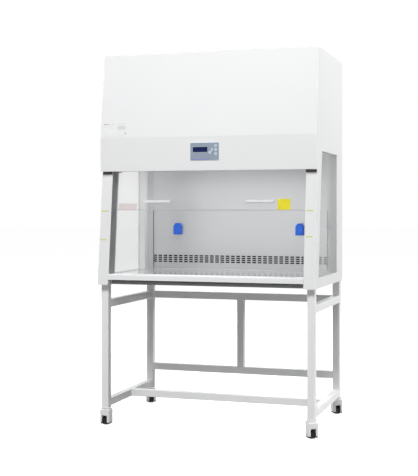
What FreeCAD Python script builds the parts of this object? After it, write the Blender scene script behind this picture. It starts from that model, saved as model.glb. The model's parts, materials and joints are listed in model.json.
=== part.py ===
import FreeCAD, Part
import math
import os
import re
import Sketcher
from FreeCAD import Rotation, Vector

# Vertical laminar flow cabinet on an open stand with levelling casters.
# X runs to the right, Y to the back and Z up. Lengths are in millimetres.
# Cabinet pieces are drawn with Y = 0 at the foot of the front posts, and their
# placement moves that line so that the whole part is centred on the origin.

SIZES = {
    # Outer form of the cabinet
    "cab_width": 1184,
    "cab_depth": 751,
    "cab_bottom": 757,
    "cab_height": 1992,
    "head_height": 628,
    "crease_rise": 179,
    "front_angle": 6.4,
    "cover_angle": 7.9,
    "cover_proud": 29,
    "cover_flange": 14,
    "cover_bend": 3.5,
    "lip_depth": 72,
    "sheet": 1.5,
    "seam": 0.5,
    "seat": 0.3,
    # Side walls, their windows and the front posts
    "wall": 39,
    "post_width": 60,
    "post_depth": 60,
    "post_cover": 156,
    "post_round": 4,
    "window_drop": 2,
    "window_rise": 100,
    "window_angle": 8,
    "window_setback": 91,
    "window_rear_gap": 69,
    "pane": 5,
    # Work chamber
    "worktop_rise": 53,
    "ledge_rise": 27,
    "ledge_lip": 3,
    "ledge_round": 8,
    "duct_depth": 88,
    "wing_width": 28,
    "wing_depth": 24,
    "ceiling_rise": 114,
    "slot_length": 20,
    "slot_height": 5,
    "slot_margin": 29.4,
    "slot_columns": 33,
    "slot_rows": 4,
    "slot_rise": 11.7,
    "slot_lift": 43,
    "front_slot_width": 8,
    "front_slot_setback": 5,
    "vent_length": 70,
    "vent_width": 8,
    "vent_margin": 45,
    "vent_columns": 12,
    "vent_rows": 6,
    "vent_edge": 40,
    "roof_vent_pitch": 70,
    # Sliding sash, its guides and its balancing gear
    "sash_open": 345,
    "sash_overlap": 35.5,
    "sash_offset": 68,
    "sash_edge": 3,
    "guide_depth": 26,
    "guide_over": 25,
    "groove_depth": 12,
    "groove_gap": 1.5,
    "rail_height": 22,
    "rail_wall": 3,
    "clamp_height": 16,
    "handle_length": 149,
    "handle_height": 16,
    "handle_reach": 30,
    "handle_place": 284,
    "handle_lift": 36,
    "belt_width": 10,
    "belt_thick": 2,
    "belt_inset": 66,
    "belt_offset": 78,
    "pulley_radius": 12,
    "shaft_radius": 6,
    "shaft_drop": 72.5,
    "idler_rise": 11,
    "axle_radius": 5,
    "run_fit": 0.06,
    "barrel_radius": 26,
    "barrel_length": 300,
    "gear_gap": 11.6,
    # Air handling
    "filter_height": 80,
    "filter_side_gap": 23,
    "filter_rim": 18,
    "filter_recess": 8,
    "blower_width": 240,
    "blower_set": 18,
    "roof_gap": 46,
    "scroll_start": 108,
    "scroll_growth": 9,
    "outlet_width": 120,
    "outlet_drop": 138.5,
    "inlet_radius": 78,
    "wheel_radius": 96,
    "wheel_width": 210,
    "blade_depth": 20,
    "blade_thick": 1.6,
    "blade_count": 30,
    "hub_radius": 46,
    "hub_bore": 9,
    # Lamps, controls and sockets
    "lamp_length": 900,
    "lamp_radius": 13,
    "lamp_gap": 28,
    "uv_length": 600,
    "uv_radius": 8,
    "panel_width": 156,
    "panel_rise": 54,
    "panel_tall": 90,
    "panel_thick": 4,
    "panel_round": 4,
    "display_left": -65,
    "display_width": 82,
    "display_rise": 41,
    "display_tall": 28,
    "display_thick": 2,
    "button_radius": 6,
    "button_bevel": 0.8,
    "button_place": 61,
    "button_rise": 32,
    "button_pitch": 21,
    "button_proud": 1.5,
    "button_travel": 0.8,
    "socket_width": 47,
    "socket_top": 22,
    "socket_shoulder": 18,
    "socket_place": 367.5,
    "socket_rise": 203,
    "socket_tall": 67,
    "socket_depth": 22,
    "lid_thick": 5,
    "lid_margin": 4,
    "hinge_radius": 2.5,
    "inlet_width": 48,
    "inlet_tall": 28,
    "inlet_side_gap": 124,
    "inlet_drop": 132,
    # Stand
    "stand_side_gap": 7,
    "stand_front_gap": 37,
    "stand_back_gap": 5,
    "tube": 40,
    "tube_wall": 2,
    "tube_round": 3,
    "leg_bottom": 94,
    "rail_drop": 125,
    "rear_rail": 201,
    "low_rail": 99,
    # Levelling casters
    "hood_width": 56,
    "hood_bottom": 14,
    "hood_top": 87,
    "hood_round": 10,
    "hood_bevel": 7,
    "mouth_top": 53,
    "caster_turn": 30,
    "caster_radius": 22,
    "caster_width": 25,
    "caster_trail": 8,
    "caster_gap": 2,
    "tread_bevel": 2,
    "pin_radius": 4,
    "pin_end": 5,
    "stem_radius": 8,
    "stem_bottom": 62,
    "collar_radius": 16,
    "flange_radius": 27,
    "flange_thick": 4.5,
    "plug_height": 25,
    "foot_place": 22.5,
    "foot_bottom": 7,
    "foot_thick": 5,
    "foot_inset": 1,
    "dial_radius": 8,
    "dial_bottom": 14,
    "dial_thick": 6,
    "neck_radius": 3.5,
    "neck_top": 60,
}

# Formulas that several pieces share, in terms of the sizes above
SHARED = {
    "half": "(cab_width / 2)",
    "inside": "(cab_width / 2 - wall)",
    "between": "(cab_width / 2 - post_width)",
    # Half the space that a hood takes up when it is turned
    "hood_span": "((hood_width / 2 - hood_round) * (cos(caster_turn) + sin(caster_turn)) + hood_round)",
    "front_line": "(-(cab_depth + hood_span - tube / 2 - stand_back_gap) / 2)",
    "back_face": "(cab_depth - duct_depth)",
    # Heights
    "worktop_height": "(cab_bottom + worktop_rise)",
    "ledge_bottom": "(cab_bottom + ledge_rise)",
    "ledge_top": "(worktop_height + ledge_lip)",
    "lip_height": "(cab_height - head_height)",
    "crease_height": "(lip_height + crease_rise)",
    "post_top": "(lip_height + post_cover)",
    "ceiling_height": "(lip_height + ceiling_rise)",
    "filter_low": "(ceiling_height + sheet)",
    "plenum_low": "(filter_low + filter_height)",
    "plenum_top": "(blower_centre_z - outlet_drop)",
    "blower_centre_z": "(cab_height - roof_gap - scroll_start)",
    # Front cover and side windows
    "cover_setback": "(tan(front_angle) * (lip_height - cab_bottom) - cover_proud)",
    "cover_top": "(cover_setback + tan(cover_angle) * (cab_height - crease_height))",
    "window_bottom": "(worktop_height - window_drop)",
    "window_top": "(lip_height + window_rise)",
    "window_rear": "(back_face - window_rear_gap)",
    # Rows of slots and vents
    "slot_pitch": "((2 * inside - 2 * slot_margin - slot_length) / (slot_columns - 1))",
    "vent_pitch": "((2 * inside - 2 * vent_margin - vent_length) / (vent_columns - 1))",
    # Sash and its gear, along the slope from the foot of the posts
    "guide_low": "((ledge_top - cab_bottom + (post_depth + guide_depth) * sin(front_angle))"
                 " / cos(front_angle) + seat)",
    "ledge_back": "((post_depth + guide_depth) * cos(front_angle) + guide_low * sin(front_angle) + seat)",
    "tray_front": "(post_depth + tan(front_angle) * (ledge_bottom - cab_bottom) + seat)",
    "glass_low": "((worktop_height + sash_open - cab_bottom + (sash_offset + pane / 2) * sin(front_angle))"
                 " / cos(front_angle))",
    "glass_half": "(cab_width / 2 - post_width + groove_depth - sash_edge)",
    "sash_height": "((lip_height - ledge_top) / cos(front_angle) + sash_overlap)",
    "rail_top": "(glass_low + sash_height + rail_wall)",
    "belt_x": "(cab_width / 2 - belt_inset)",
    "belt_axis": "(belt_offset + pulley_radius + belt_thick / 2)",
    "belt_back": "(belt_axis + pulley_radius + belt_thick)",
    "shaft_height": "((cab_height - shaft_drop - cab_bottom + belt_axis * sin(front_angle))"
                    " / cos(front_angle))",
    "idler_height": "((lip_height - cab_bottom + belt_axis * sin(front_angle)) / cos(front_angle)"
                    " + idler_rise)",
    "guide_top": "(shaft_height + guide_over)",
    # Air handling, behind the belts at the height of its top
    "ceiling_front": "(tan(front_angle) * (ceiling_height - cab_bottom)"
                     " + belt_back / cos(front_angle) + gear_gap)",
    "filter_front": "(tan(front_angle) * (plenum_top - cab_bottom)"
                    " + belt_back / cos(front_angle) + gear_gap)",
    "filter_width": "(2 * inside - 2 * filter_side_gap)",
    "blower_centre_y": "((filter_front + back_face) / 2 - blower_set)",
    # Controls, sockets and mains inlet
    "panel_low": "(lip_height + panel_rise)",
    "display_low": "(panel_low + display_rise)",
    "button_low": "(panel_low + button_rise)",
    "socket_low": "(worktop_height + socket_rise)",
    "socket_face": "(back_face - socket_depth)",
    "inlet_low": "(cab_height - inlet_drop)",
    "inlet_place": "(cab_width / 2 - inlet_side_gap - inlet_width)",
    # Stand
    "leg_x": "(cab_width / 2 - stand_side_gap - tube / 2)",
    "leg_front": "(stand_front_gap + tube / 2)",
    "leg_back": "(cab_depth - stand_back_gap - tube / 2)",
    "upper_rail": "(cab_bottom - rail_drop)",
}

doc = FreeCAD.newDocument("LaminarFlowCabinet")
dims = doc.addObject("Spreadsheet::Sheet", "Dims")
for row, (alias, number) in enumerate(SIZES.items(), start=1):
    dims.set("A%d" % row, alias)
    dims.set("B%d" % row, str(number))
    dims.setAlias("B%d" % row, alias)
doc.recompute()

WORD = re.compile(r"[a-z][a-z_]*")
parts = []


def bound(text):
    """Turn a formula of size names into an expression on the sheet."""
    while any(word in SHARED for word in WORD.findall(text)):
        text = WORD.sub(lambda m: SHARED.get(m.group(), m.group()), text)
    return WORD.sub(lambda m: "Dims." + m.group() if m.group() in SIZES else m.group(), text)


def value(text):
    """The present number of a formula."""
    return float(dims.evalExpression(bound(text)))


def place(item, x="0", y="0", z="0"):
    """Bind an object's position."""
    item.setExpression("Placement.Base.x", bound(x))
    item.setExpression("Placement.Base.y", bound(y))
    item.setExpression("Placement.Base.z", bound(z))


def new_body(name, x="0", y="0", z="0"):
    """A body whose own Y = 0 lies on the front line of the cabinet."""
    body = doc.addObject("PartDesign::Body", name)
    body.Label = name
    place(body, x, "front_line + " + y, z)
    parts.append(body)
    return body


def new_leaning_body(name):
    """A body drawn upright at the foot of the posts and leaned back with them."""
    body = new_body(name, z="cab_bottom")
    lean_back(body)
    return body


def lean_back(item):
    """Lean an object back with the front posts, about the X axis."""
    item.Placement.Rotation = Rotation(Vector(-1, 0, 0), 1)
    item.setExpression("Placement.Rotation.Angle", bound("front_angle"))


def origin_part(body, role):
    """One of the body's origin planes or axes."""
    return next(item for item in body.Origin.OriginFeatures if item.Role == role)


def sketch(body, name, role, away="0"):
    """An empty sketch on an origin plane, moved along the plane's normal."""
    drawing = body.newObject("Sketcher::SketchObject", name)
    drawing.AttachmentSupport = (origin_part(body, role + "_Plane"), "")
    drawing.MapMode = "FlatFace"
    drawing.setExpression("AttachmentOffset.Base.z", bound(away))
    return drawing


def bind(drawing, kind, item, point, formula):
    """Hold one point of the sketch at a bound distance from its origin."""
    index = drawing.addConstraint(Sketcher.Constraint(kind, -1, 1, item, point, value(formula)))
    drawing.setExpression("Constraints[%d]" % index, bound(formula))


def polygon(drawing, corners):
    """A closed outline of straight lines through bound corners."""
    first = drawing.GeometryCount
    spots = [Vector(value(a), value(b), 0) for a, b in corners]
    count = len(spots)
    for i in range(count):
        drawing.addGeometry(Part.LineSegment(spots[i], spots[(i + 1) % count]), False)
    for i in range(count):
        joint = Sketcher.Constraint("Coincident", first + i, 2, first + (i + 1) % count, 1)
        drawing.addConstraint(joint)
    for i, (a, b) in enumerate(corners):
        bind(drawing, "DistanceX", first + i, 1, a)
        bind(drawing, "DistanceY", first + i, 1, b)


def rectangle(drawing, left, right, low, high):
    """A bound rectangle."""
    polygon(drawing, [(left, low), (right, low), (right, high), (left, high)])


def circle(drawing, a, b, radius):
    """A bound circle."""
    index = drawing.GeometryCount
    centre = Vector(value(a), value(b), 0)
    drawing.addGeometry(Part.Circle(centre, Vector(0, 0, 1), value(radius)), False)
    bind(drawing, "DistanceX", index, 3, a)
    bind(drawing, "DistanceY", index, 3, b)
    size = drawing.addConstraint(Sketcher.Constraint("Radius", index, value(radius)))
    drawing.setExpression("Constraints[%d]" % size, bound(radius))


def pad(body, drawing, length, backward=False):
    """Add material along the sketch's normal, or against it."""
    feature = body.newObject("PartDesign::Pad", drawing.Name + "_pad")
    feature.Profile = drawing
    feature.setExpression("Length", bound(length))
    feature.Reversed = backward
    doc.recompute()
    return feature


def cut(body, drawing, length, backward=False):
    """Take material away along the sketch's normal, or against it."""
    before = body.Shape.Volume
    feature = body.newObject("PartDesign::Pocket", drawing.Name + "_cut")
    feature.Profile = drawing
    feature.setExpression("Length", bound(length))
    feature.Reversed = not backward
    doc.recompute()
    if body.Shape.Volume > before - 0.1:
        raise ValueError(drawing.Name + " cuts nothing from " + body.Label)
    return feature


def dress_edges(body, kind, size, amount, chosen):
    """Dress the edges of the body's tip whose middle point and direction pass a test."""
    base = body.Tip
    names = []
    for number, edge in enumerate(base.Shape.Edges, start=1):
        middle = edge.valueAt((edge.FirstParameter + edge.LastParameter) / 2)
        if chosen(middle, edge.tangentAt(edge.FirstParameter)):
            names.append("Edge%d" % number)
    feature = body.newObject("PartDesign::" + kind, body.Name + "_" + kind.lower())
    feature.Base = (base, names)
    feature.setExpression(size, bound(amount))
    doc.recompute()


def round_edges(body, radius, chosen):
    dress_edges(body, "Fillet", "Radius", radius, chosen)


def bevel_edges(body, width, chosen):
    dress_edges(body, "Chamfer", "Size", width, chosen)


def repeat(body, feature, runs):
    """Repeat a feature along one or two origin axes."""
    steps = []
    for axis, span, count in runs:
        step = body.newObject("PartDesign::LinearPattern", feature.Name + "_" + axis.lower())
        step.Direction = (origin_part(body, axis + "_Axis"), [""])
        step.setExpression("Length", bound(span))
        step.setExpression("Occurrences", bound(count))
        steps.append(step)
    if len(steps) == 1:
        steps[0].Originals = [feature]
        body.Tip = steps[0]
    else:
        grid = body.newObject("PartDesign::MultiTransform", feature.Name + "_grid")
        grid.Originals = [feature]
        grid.Transformations = steps
        body.Tip = grid
    doc.recompute()


def near(number, formula, slack=0.01):
    """Whether a coordinate lies at a formula's value."""
    return abs(number - value(formula)) < slack


# Stand: square tubes, cut square and butted against each other
def square_tube(name, role, start, length, across, upward):
    """A tube along one axis; start is where it begins on that axis."""
    body = new_body(name)
    drawing = sketch(body, name + "_section", role, start)
    a, b = across, upward
    rectangle(drawing, a + " - tube / 2", a + " + tube / 2", b + " - tube / 2", b + " + tube / 2")
    pad(body, drawing, length)
    axis = {"XY": Vector(0, 0, 1), "YZ": Vector(1, 0, 0), "XZ": Vector(0, 1, 0)}[role]
    round_edges(body, "tube_round", lambda p, d: abs(d.dot(axis)) > 0.99)
    bore = sketch(body, name + "_bore", role, start)
    w = "(tube / 2 - tube_wall)"
    rectangle(bore, a + " - " + w, a + " + " + w, b + " - " + w, b + " + " + w)
    cut(body, bore, length)
    return body


SIDES = (("left", "-1"), ("right", "1"))
for side, sign in SIDES:
    for end, depth in (("front", "leg_front"), ("rear", "leg_back")):
        square_tube("leg_%s_%s" % (end, side), "XY", "leg_bottom", "cab_bottom - leg_bottom",
                    sign + " * leg_x", depth)
    for label, height in (("upper", "upper_rail"), ("lower", "low_rail")):
        square_tube("%s_side_rail_%s" % (label, side), "XZ", "-leg_back + tube / 2",
                    "leg_back - leg_front - tube", sign + " * leg_x", height + " + tube / 2")

ACROSS = "2 * leg_x - tube"
square_tube("rear_rail_upper", "YZ", "-leg_x + tube / 2", ACROSS, "leg_back", "upper_rail + tube / 2")
square_tube("rear_rail_lower", "YZ", "-leg_x + tube / 2", ACROSS, "leg_back", "rear_rail + tube / 2")
square_tube("cross_rail", "YZ", "-leg_x + tube / 2", ACROSS, "(leg_front + leg_back) / 2",
            "low_rail + tube / 2")
square_tube("rear_strut", "XY", "rear_rail + tube", "upper_rail - rear_rail - tube", "0", "leg_back")


# Levelling casters: a stem fixed in the leg, a hood that swivels on it, a wheel on a
# pin through the hood's cheeks and a screw-down foot that wraps round the wheel
def caster_stem(name, x, y):
    body = doc.addObject("PartDesign::Body", name)
    place(body, x, "front_line + " + y)
    for label, radius, low, high in (("stem", "stem_radius", "stem_bottom", "leg_bottom"),
                                     ("collar", "collar_radius", "hood_top + seat", "leg_bottom"),
                                     ("flange", "flange_radius", "leg_bottom - flange_thick",
                                      "leg_bottom")):
        disc = sketch(body, name + "_" + label, "XY", low)
        circle(disc, "0", "0", radius)
        pad(body, disc, high + " - (" + low + ")")
    plug = sketch(body, name + "_plug", "XY", "leg_bottom")
    w = "(tube / 2 - tube_wall - seat)"
    rectangle(plug, "-" + w, w, "-" + w, w)
    pad(body, plug, "plug_height")
    return body


def turned_body(name, x, y, turned):
    """A body on the axis of a caster, turned about it if the caster is."""
    body = new_body(name, x, y)
    if turned:
        body.Placement.Rotation = Rotation(Vector(0, 0, 1), 1)
        body.setExpression("Placement.Rotation.Angle", bound("caster_turn"))
    return body


def caster_hood(name, x, y, turned):
    body = turned_body(name, x, y, turned)
    block = sketch(body, name + "_block", "XY", "hood_bottom")
    rectangle(block, "-hood_width / 2", "hood_width / 2", "-hood_width / 2", "hood_width / 2")
    pad(body, block, "hood_top - hood_bottom")
    round_edges(body, "hood_round", lambda p, d: abs(d.z) > 0.99)
    bevel_edges(body, "hood_bevel", lambda p, d: near(p.z, "hood_top"))
    arch = sketch(body, name + "_arch", "YZ", "-caster_width / 2 - caster_gap")
    circle(arch, "-caster_trail", "caster_radius", "caster_radius + caster_gap")
    cut(body, arch, "caster_width + 2 * caster_gap")
    mouth = sketch(body, name + "_mouth", "YZ", "-caster_width / 2 - caster_gap")
    rectangle(mouth, "-hood_width / 2 - 1", "-caster_trail", "0", "mouth_top")
    cut(body, mouth, "caster_width + 2 * caster_gap")
    bore = sketch(body, name + "_stem_bore", "XY", "stem_bottom - seat")
    circle(bore, "0", "0", "stem_radius + run_fit")
    cut(body, bore, "hood_top")
    room = sketch(body, name + "_dial_room", "XY", "0")
    rectangle(room, "-dial_radius - caster_gap", "dial_radius + caster_gap",
              "foot_place - dial_radius - caster_gap / 2", "hood_width / 2 + 1")
    cut(body, room, "dial_bottom + dial_thick + caster_gap")
    neck = sketch(body, name + "_neck_bore", "XY", "0")
    circle(neck, "0", "foot_place", "neck_radius + run_fit")
    cut(body, neck, "neck_top + 1")
    pin = sketch(body, name + "_pin", "YZ", "-hood_width / 2 + pin_end")
    circle(pin, "-caster_trail", "caster_radius", "pin_radius")
    pad(body, pin, "hood_width - 2 * pin_end")


def caster_wheel(name, x, y, turned):
    body = turned_body(name, x, y, turned)
    tyre = sketch(body, name + "_tyre", "YZ", "-caster_width / 2")
    circle(tyre, "-caster_trail", "caster_radius", "caster_radius")
    pad(body, tyre, "caster_width")
    bevel_edges(body, "tread_bevel", lambda p, d: abs(d.x) < 0.5)
    bore = sketch(body, name + "_bore", "YZ", "-caster_width / 2")
    circle(bore, "-caster_trail", "caster_radius", "pin_radius + run_fit")
    cut(body, bore, "caster_width")


def caster_foot(name, x, y, turned):
    body = turned_body(name, x, y, turned)
    w = "(hood_width / 2 - foot_inset)"
    clear = "(caster_width / 2 + caster_gap)"
    heel = "(caster_radius - caster_trail + caster_gap / 2)"
    sole = sketch(body, name + "_sole", "XY", "foot_bottom")
    rectangle(sole, "-" + w, w, "-" + w, w)
    pad(body, sole, "foot_thick")
    round_edges(body, "hood_round", lambda p, d: abs(d.z) > 0.99)
    gap = sketch(body, name + "_gap", "XY", "foot_bottom")
    rectangle(gap, "-" + clear, clear, "-" + w + " - 1", heel)
    cut(body, gap, "foot_thick")
    for label, radius, low, high in (("neck", "neck_radius", "foot_bottom", "neck_top"),
                                     ("dial", "dial_radius", "dial_bottom",
                                      "dial_bottom + dial_thick")):
        disc = sketch(body, name + "_" + label, "XY", low)
        circle(disc, "0", "foot_place", radius)
        pad(body, disc, high + " - " + low)


stems = []
for side, sign in SIDES:
    for end, depth in (("front", "leg_front"), ("rear", "leg_back")):
        corner = "%s_%s" % (end, side)
        x = sign + " * leg_x"
        turned = corner != "front_left"
        stems.append(caster_stem("stem_" + corner, x, depth))
        caster_hood("caster_hood_" + corner, x, depth, turned)
        caster_wheel("caster_wheel_" + corner, x, depth, turned)
        caster_foot("caster_foot_" + corner, x, depth, turned)
stem_group = doc.addObject("Part::Compound", "caster_stems")
stem_group.Label = "caster_stems"
stem_group.Links = stems
parts.append(stem_group)


# Cabinet shell
def wall_outline(inset):
    """Side outline of a wall: leaning post edge, step under the cover, top and rear."""
    edge = "cover_setback + cover_flange + seam"
    top = "cab_height - sheet"
    return [
        (inset, "cab_bottom + " + inset),
        ("tan(front_angle) * (lip_height - cab_bottom) + " + inset, "lip_height + " + inset),
        (edge + " + " + inset, "lip_height + " + inset),
        (edge + " + " + inset, "crease_height"),
        (edge + " + " + inset + " + tan(cover_angle) * (cab_height - sheet - crease_height)", top),
        ("cab_depth - sheet - " + inset, top),
        ("cab_depth - sheet - " + inset, "cab_bottom + " + inset),
    ]


def window_outline(grow):
    """Window in a side wall, grown by a margin; its front edge leans with the wall."""
    slope = " + tan(window_angle) * (window_top - window_bottom)"
    return [
        ("window_setback - " + grow, "window_bottom - " + grow),
        ("window_setback" + slope + " - " + grow, "window_top + " + grow),
        ("window_rear + " + grow, "window_top + " + grow),
        ("window_rear + " + grow, "window_bottom - " + grow),
    ]


def side_wall(side, sign):
    """Double-skinned wall with its front post folded from the same sheet."""
    inward = sign == "1"
    body = new_body("side_wall_" + side)
    skin = sketch(body, "wall_skin_" + side, "YZ", sign + " * half")
    polygon(skin, wall_outline("0"))
    polygon(skin, window_outline("0"))
    pad(body, skin, "wall", inward)
    post = sketch(body, "wall_post_" + side, "YZ", sign + " * half")
    slope = "tan(front_angle) * (post_top - cab_bottom)"
    polygon(post, [("0", "cab_bottom"), (slope, "post_top"),
                   (slope + " + post_depth", "post_top"), ("post_depth", "cab_bottom")])
    pad(body, post, "post_width", inward)
    x_out = value(sign + " * half")
    x_in = value(sign + " * between")

    def front_corner(p, d):
        on_line = abs(p.y - (p.z - value("cab_bottom")) * math.tan(math.radians(value("front_angle"))))
        return on_line < 0.01 and abs(d.z) > 0.9 and min(abs(p.x - x_out), abs(p.x - x_in)) < 0.01

    round_edges(body, "post_round", front_corner)
    hollow = sketch(body, "wall_hollow_" + side, "YZ", sign + " * (half - sheet)")
    inner = wall_outline("(post_round + sheet)")
    top = "cab_height + 1"
    inner[4] = (inner[4][0], top)
    inner[5] = (inner[5][0], top)
    polygon(hollow, inner)
    polygon(hollow, window_outline("sheet"))
    cut(body, hollow, "wall - 2 * sheet", inward)
    duct = sketch(body, "post_hollow_" + side, "YZ", sign + " * (half - sheet)")
    front = "post_round + sheet"
    polygon(duct, [(front, "cab_bottom + " + front), (slope + " + " + front, "post_top + 1"),
                   (slope + " + post_depth - sheet", "post_top + 1"),
                   ("post_depth - sheet", "cab_bottom + " + front)])
    cut(body, duct, "post_width - 2 * sheet", inward)


def side_pane(side, sign):
    body = new_body("side_glass_" + side)
    pane = sketch(body, "pane_" + side, "YZ", sign + " * (half - seam)")
    polygon(pane, window_outline("(-seat)"))
    pad(body, pane, "pane", sign == "1")
    return body


for side, sign in SIDES:
    side_wall(side, sign)
    side_pane(side, sign)

# Front cover: one folded panel, upright below the crease and leaning back above it,
# with returned flanges all round and a deeper return behind the lip
cover = new_body("front_cover")
face = sketch(cover, "cover_face", "YZ", "-half")
polygon(face, [("cover_setback", "lip_height"), ("cover_setback", "crease_height"),
               ("cover_top", "cab_height"), ("cover_top + cover_flange", "cab_height"),
               ("cover_setback + cover_flange", "crease_height"),
               ("cover_setback + cover_flange", "lip_height")])
pad(cover, face, "cab_width")


def on_cover_face(p, inset):
    """Whether a point lies on the front faces of the cover, set in by a depth."""
    rise = max(0.0, p.z - value("crease_height"))
    lean = math.tan(math.radians(value("cover_angle")))
    return abs(p.y - value("cover_setback") - inset - rise * lean) < 0.01


round_edges(cover, "cover_bend",
            lambda p, d: on_cover_face(p, 0) and abs(d.x) < 0.01 and abs(p.x) > value("half - 1"))
back = sketch(cover, "cover_back", "YZ", "-half + sheet")
polygon(back, [("cover_setback + sheet", "lip_height + sheet"),
               ("cover_setback + sheet", "crease_height"),
               ("cover_top + sheet", "cab_height - sheet"),
               ("cover_top + cover_flange + 1", "cab_height - sheet"),
               ("cover_setback + cover_flange + 1", "crease_height"),
               ("cover_setback + cover_flange + 1", "lip_height + sheet")])
cut(cover, back, "cab_width - 2 * sheet")
lip = sketch(cover, "cover_lip", "XY", "lip_height")
rectangle(lip, "-between + seat", "between - seat", "cover_setback + cover_flange - sheet",
          "cover_setback + lip_depth")
pad(cover, lip, "sheet")

roof = new_body("roof_panel")
plate = sketch(roof, "roof_plate", "XY", "cab_height - sheet")
rectangle(plate, "-half", "half", "cover_top + cover_flange + seam", "cab_depth")
pad(roof, plate, "sheet")
vent = sketch(roof, "roof_vent", "XY", "cab_height - sheet")
VENT_LEFT = "(-(vent_columns - 1) / 2 * vent_pitch)"
rectangle(vent, VENT_LEFT + " - vent_length / 2", VENT_LEFT + " + vent_length / 2",
          "blower_centre_y - roof_vent_pitch", "blower_centre_y - roof_vent_pitch + vent_width")
repeat(roof, cut(roof, vent, "sheet"), [("X", "(vent_columns - 1) * vent_pitch", "vent_columns"),
                                        ("Y", "2 * roof_vent_pitch", "3")])

rear = new_body("rear_cover")
plate = sketch(rear, "rear_plate", "XZ", "-cab_depth")
rectangle(plate, "-half", "half", "cab_bottom", "cab_height - sheet")
pad(rear, plate, "sheet")
socket_hole = sketch(rear, "rear_inlet_hole", "XZ", "-cab_depth")
rectangle(socket_hole, "inlet_place - seat", "inlet_place + inlet_width + seat", "inlet_low - seat",
          "inlet_low + inlet_tall + seat")
cut(rear, socket_hole, "sheet")

# Front ledge between the posts, folded with its edges down
ledge = new_body("front_ledge")
bar = sketch(ledge, "ledge_bar", "YZ", "-between + seat")


def front_at(height):
    """Distance of the leaning post line behind its foot at a height."""
    return "tan(front_angle) * (" + height + " - cab_bottom)"


polygon(bar, [(front_at("ledge_bottom") + " + sheet", "ledge_bottom"),
              (front_at("ledge_top") + " + sheet", "ledge_top"),
              ("ledge_back", "ledge_top"), ("ledge_back", "ledge_bottom")])
pad(ledge, bar, "2 * between - 2 * seat")
round_edges(ledge, "ledge_round",
            lambda p, d: abs(d.x) > 0.99 and near(p.z, "ledge_top") and p.y < value("ledge_back / 2"))
under = sketch(ledge, "ledge_under", "YZ", "-between + seat + sheet")
polygon(under, [(front_at("ledge_bottom") + " + 3 * sheet", "ledge_bottom - 1"),
                (front_at("ledge_top") + " + 3 * sheet", "ledge_top - ledge_round"),
                ("3 * sheet + ledge_round", "ledge_top - sheet"),
                ("ledge_back - sheet", "ledge_top - sheet"),
                ("ledge_back - sheet", "ledge_bottom - 1")])
cut(ledge, under, "2 * between - 2 * seat - 2 * sheet")

# Drain tray under the worktop
tray = new_body("base_tray")
hull = sketch(tray, "tray_hull", "YZ", "-inside + seat")
polygon(hull, [("tray_front", "cab_bottom"), ("cab_depth - sheet", "cab_bottom"),
               ("cab_depth - sheet", "worktop_height - sheet"),
               ("ledge_back", "worktop_height - sheet"), ("ledge_back", "ledge_bottom"),
               ("tray_front", "ledge_bottom")])
pad(tray, hull, "2 * inside - 2 * seat")
hold = sketch(tray, "tray_hold", "YZ", "-inside + seat + sheet")
polygon(hold, [("tray_front + sheet", "cab_bottom + sheet"),
               ("cab_depth - 2 * sheet", "cab_bottom + sheet"),
               ("cab_depth - 2 * sheet", "worktop_height"),
               ("ledge_back + sheet", "worktop_height"),
               ("ledge_back + sheet", "ledge_bottom + 1"), ("tray_front + sheet", "ledge_bottom + 1")])
cut(tray, hold, "2 * inside - 2 * seat - 2 * sheet")

# Worktop with its row of intake slots behind the ledge, clipped at the rear corners
# where the wings of the back wall come down beside it
worktop = new_body("worktop")
plate = sketch(worktop, "worktop_plate", "XY", "worktop_height - sheet")
FLAT = "(inside - wing_width)"
CORNER = "back_face - wing_depth - sheet / 2 - 2 * seat"
polygon(plate, [("-inside + seat", "ledge_back + seat"), ("inside - seat", "ledge_back + seat"),
                ("inside - seat", CORNER), (FLAT + " - seat", "back_face - seat"),
                ("seat - " + FLAT, "back_face - seat"), ("-inside + seat", CORNER)])
pad(worktop, plate, "sheet")
COLUMN = "(-(slot_columns - 1) / 2 * slot_pitch)"
COLUMN_SPAN = "(slot_columns - 1) * slot_pitch"
slot = sketch(worktop, "worktop_slot", "XY", "worktop_height - sheet")
rectangle(slot, COLUMN + " - slot_length / 2", COLUMN + " + slot_length / 2",
          "ledge_back + front_slot_setback", "ledge_back + front_slot_setback + front_slot_width")
repeat(worktop, cut(worktop, slot, "sheet"), [("X", COLUMN_SPAN, "slot_columns")])

# Back wall of the chamber: rows of return slots, and wings folded forward to the sides
back_wall = new_body("back_wall")
plate = sketch(back_wall, "back_plate", "XZ", "-back_face - sheet")
rectangle(plate, "-" + FLAT, FLAT, "worktop_height - sheet", "ceiling_height")
pad(back_wall, plate, "sheet")
for side, sign in SIDES:
    wing = sketch(back_wall, "back_wing_" + side, "XY", "worktop_height - sheet")
    reach = sign + " * (inside - seat)"
    fold = sign + " * " + FLAT
    polygon(wing, [(fold, "back_face + sheet"), (reach, "back_face - wing_depth + sheet"),
                   (reach, "back_face - wing_depth - sheet / 2"), (fold, "back_face")])
    pad(back_wall, wing, "ceiling_height - worktop_height + sheet")
slot = sketch(back_wall, "back_slot", "XZ", "-back_face - sheet")
rectangle(slot, COLUMN + " - slot_length / 2", COLUMN + " + slot_length / 2",
          "worktop_height + slot_lift - slot_height / 2", "worktop_height + slot_lift + slot_height / 2")
repeat(back_wall, cut(back_wall, slot, "sheet"), [("X", COLUMN_SPAN, "slot_columns"),
                                                  ("Z", "(slot_rows - 1) * slot_rise", "slot_rows")])

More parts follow.
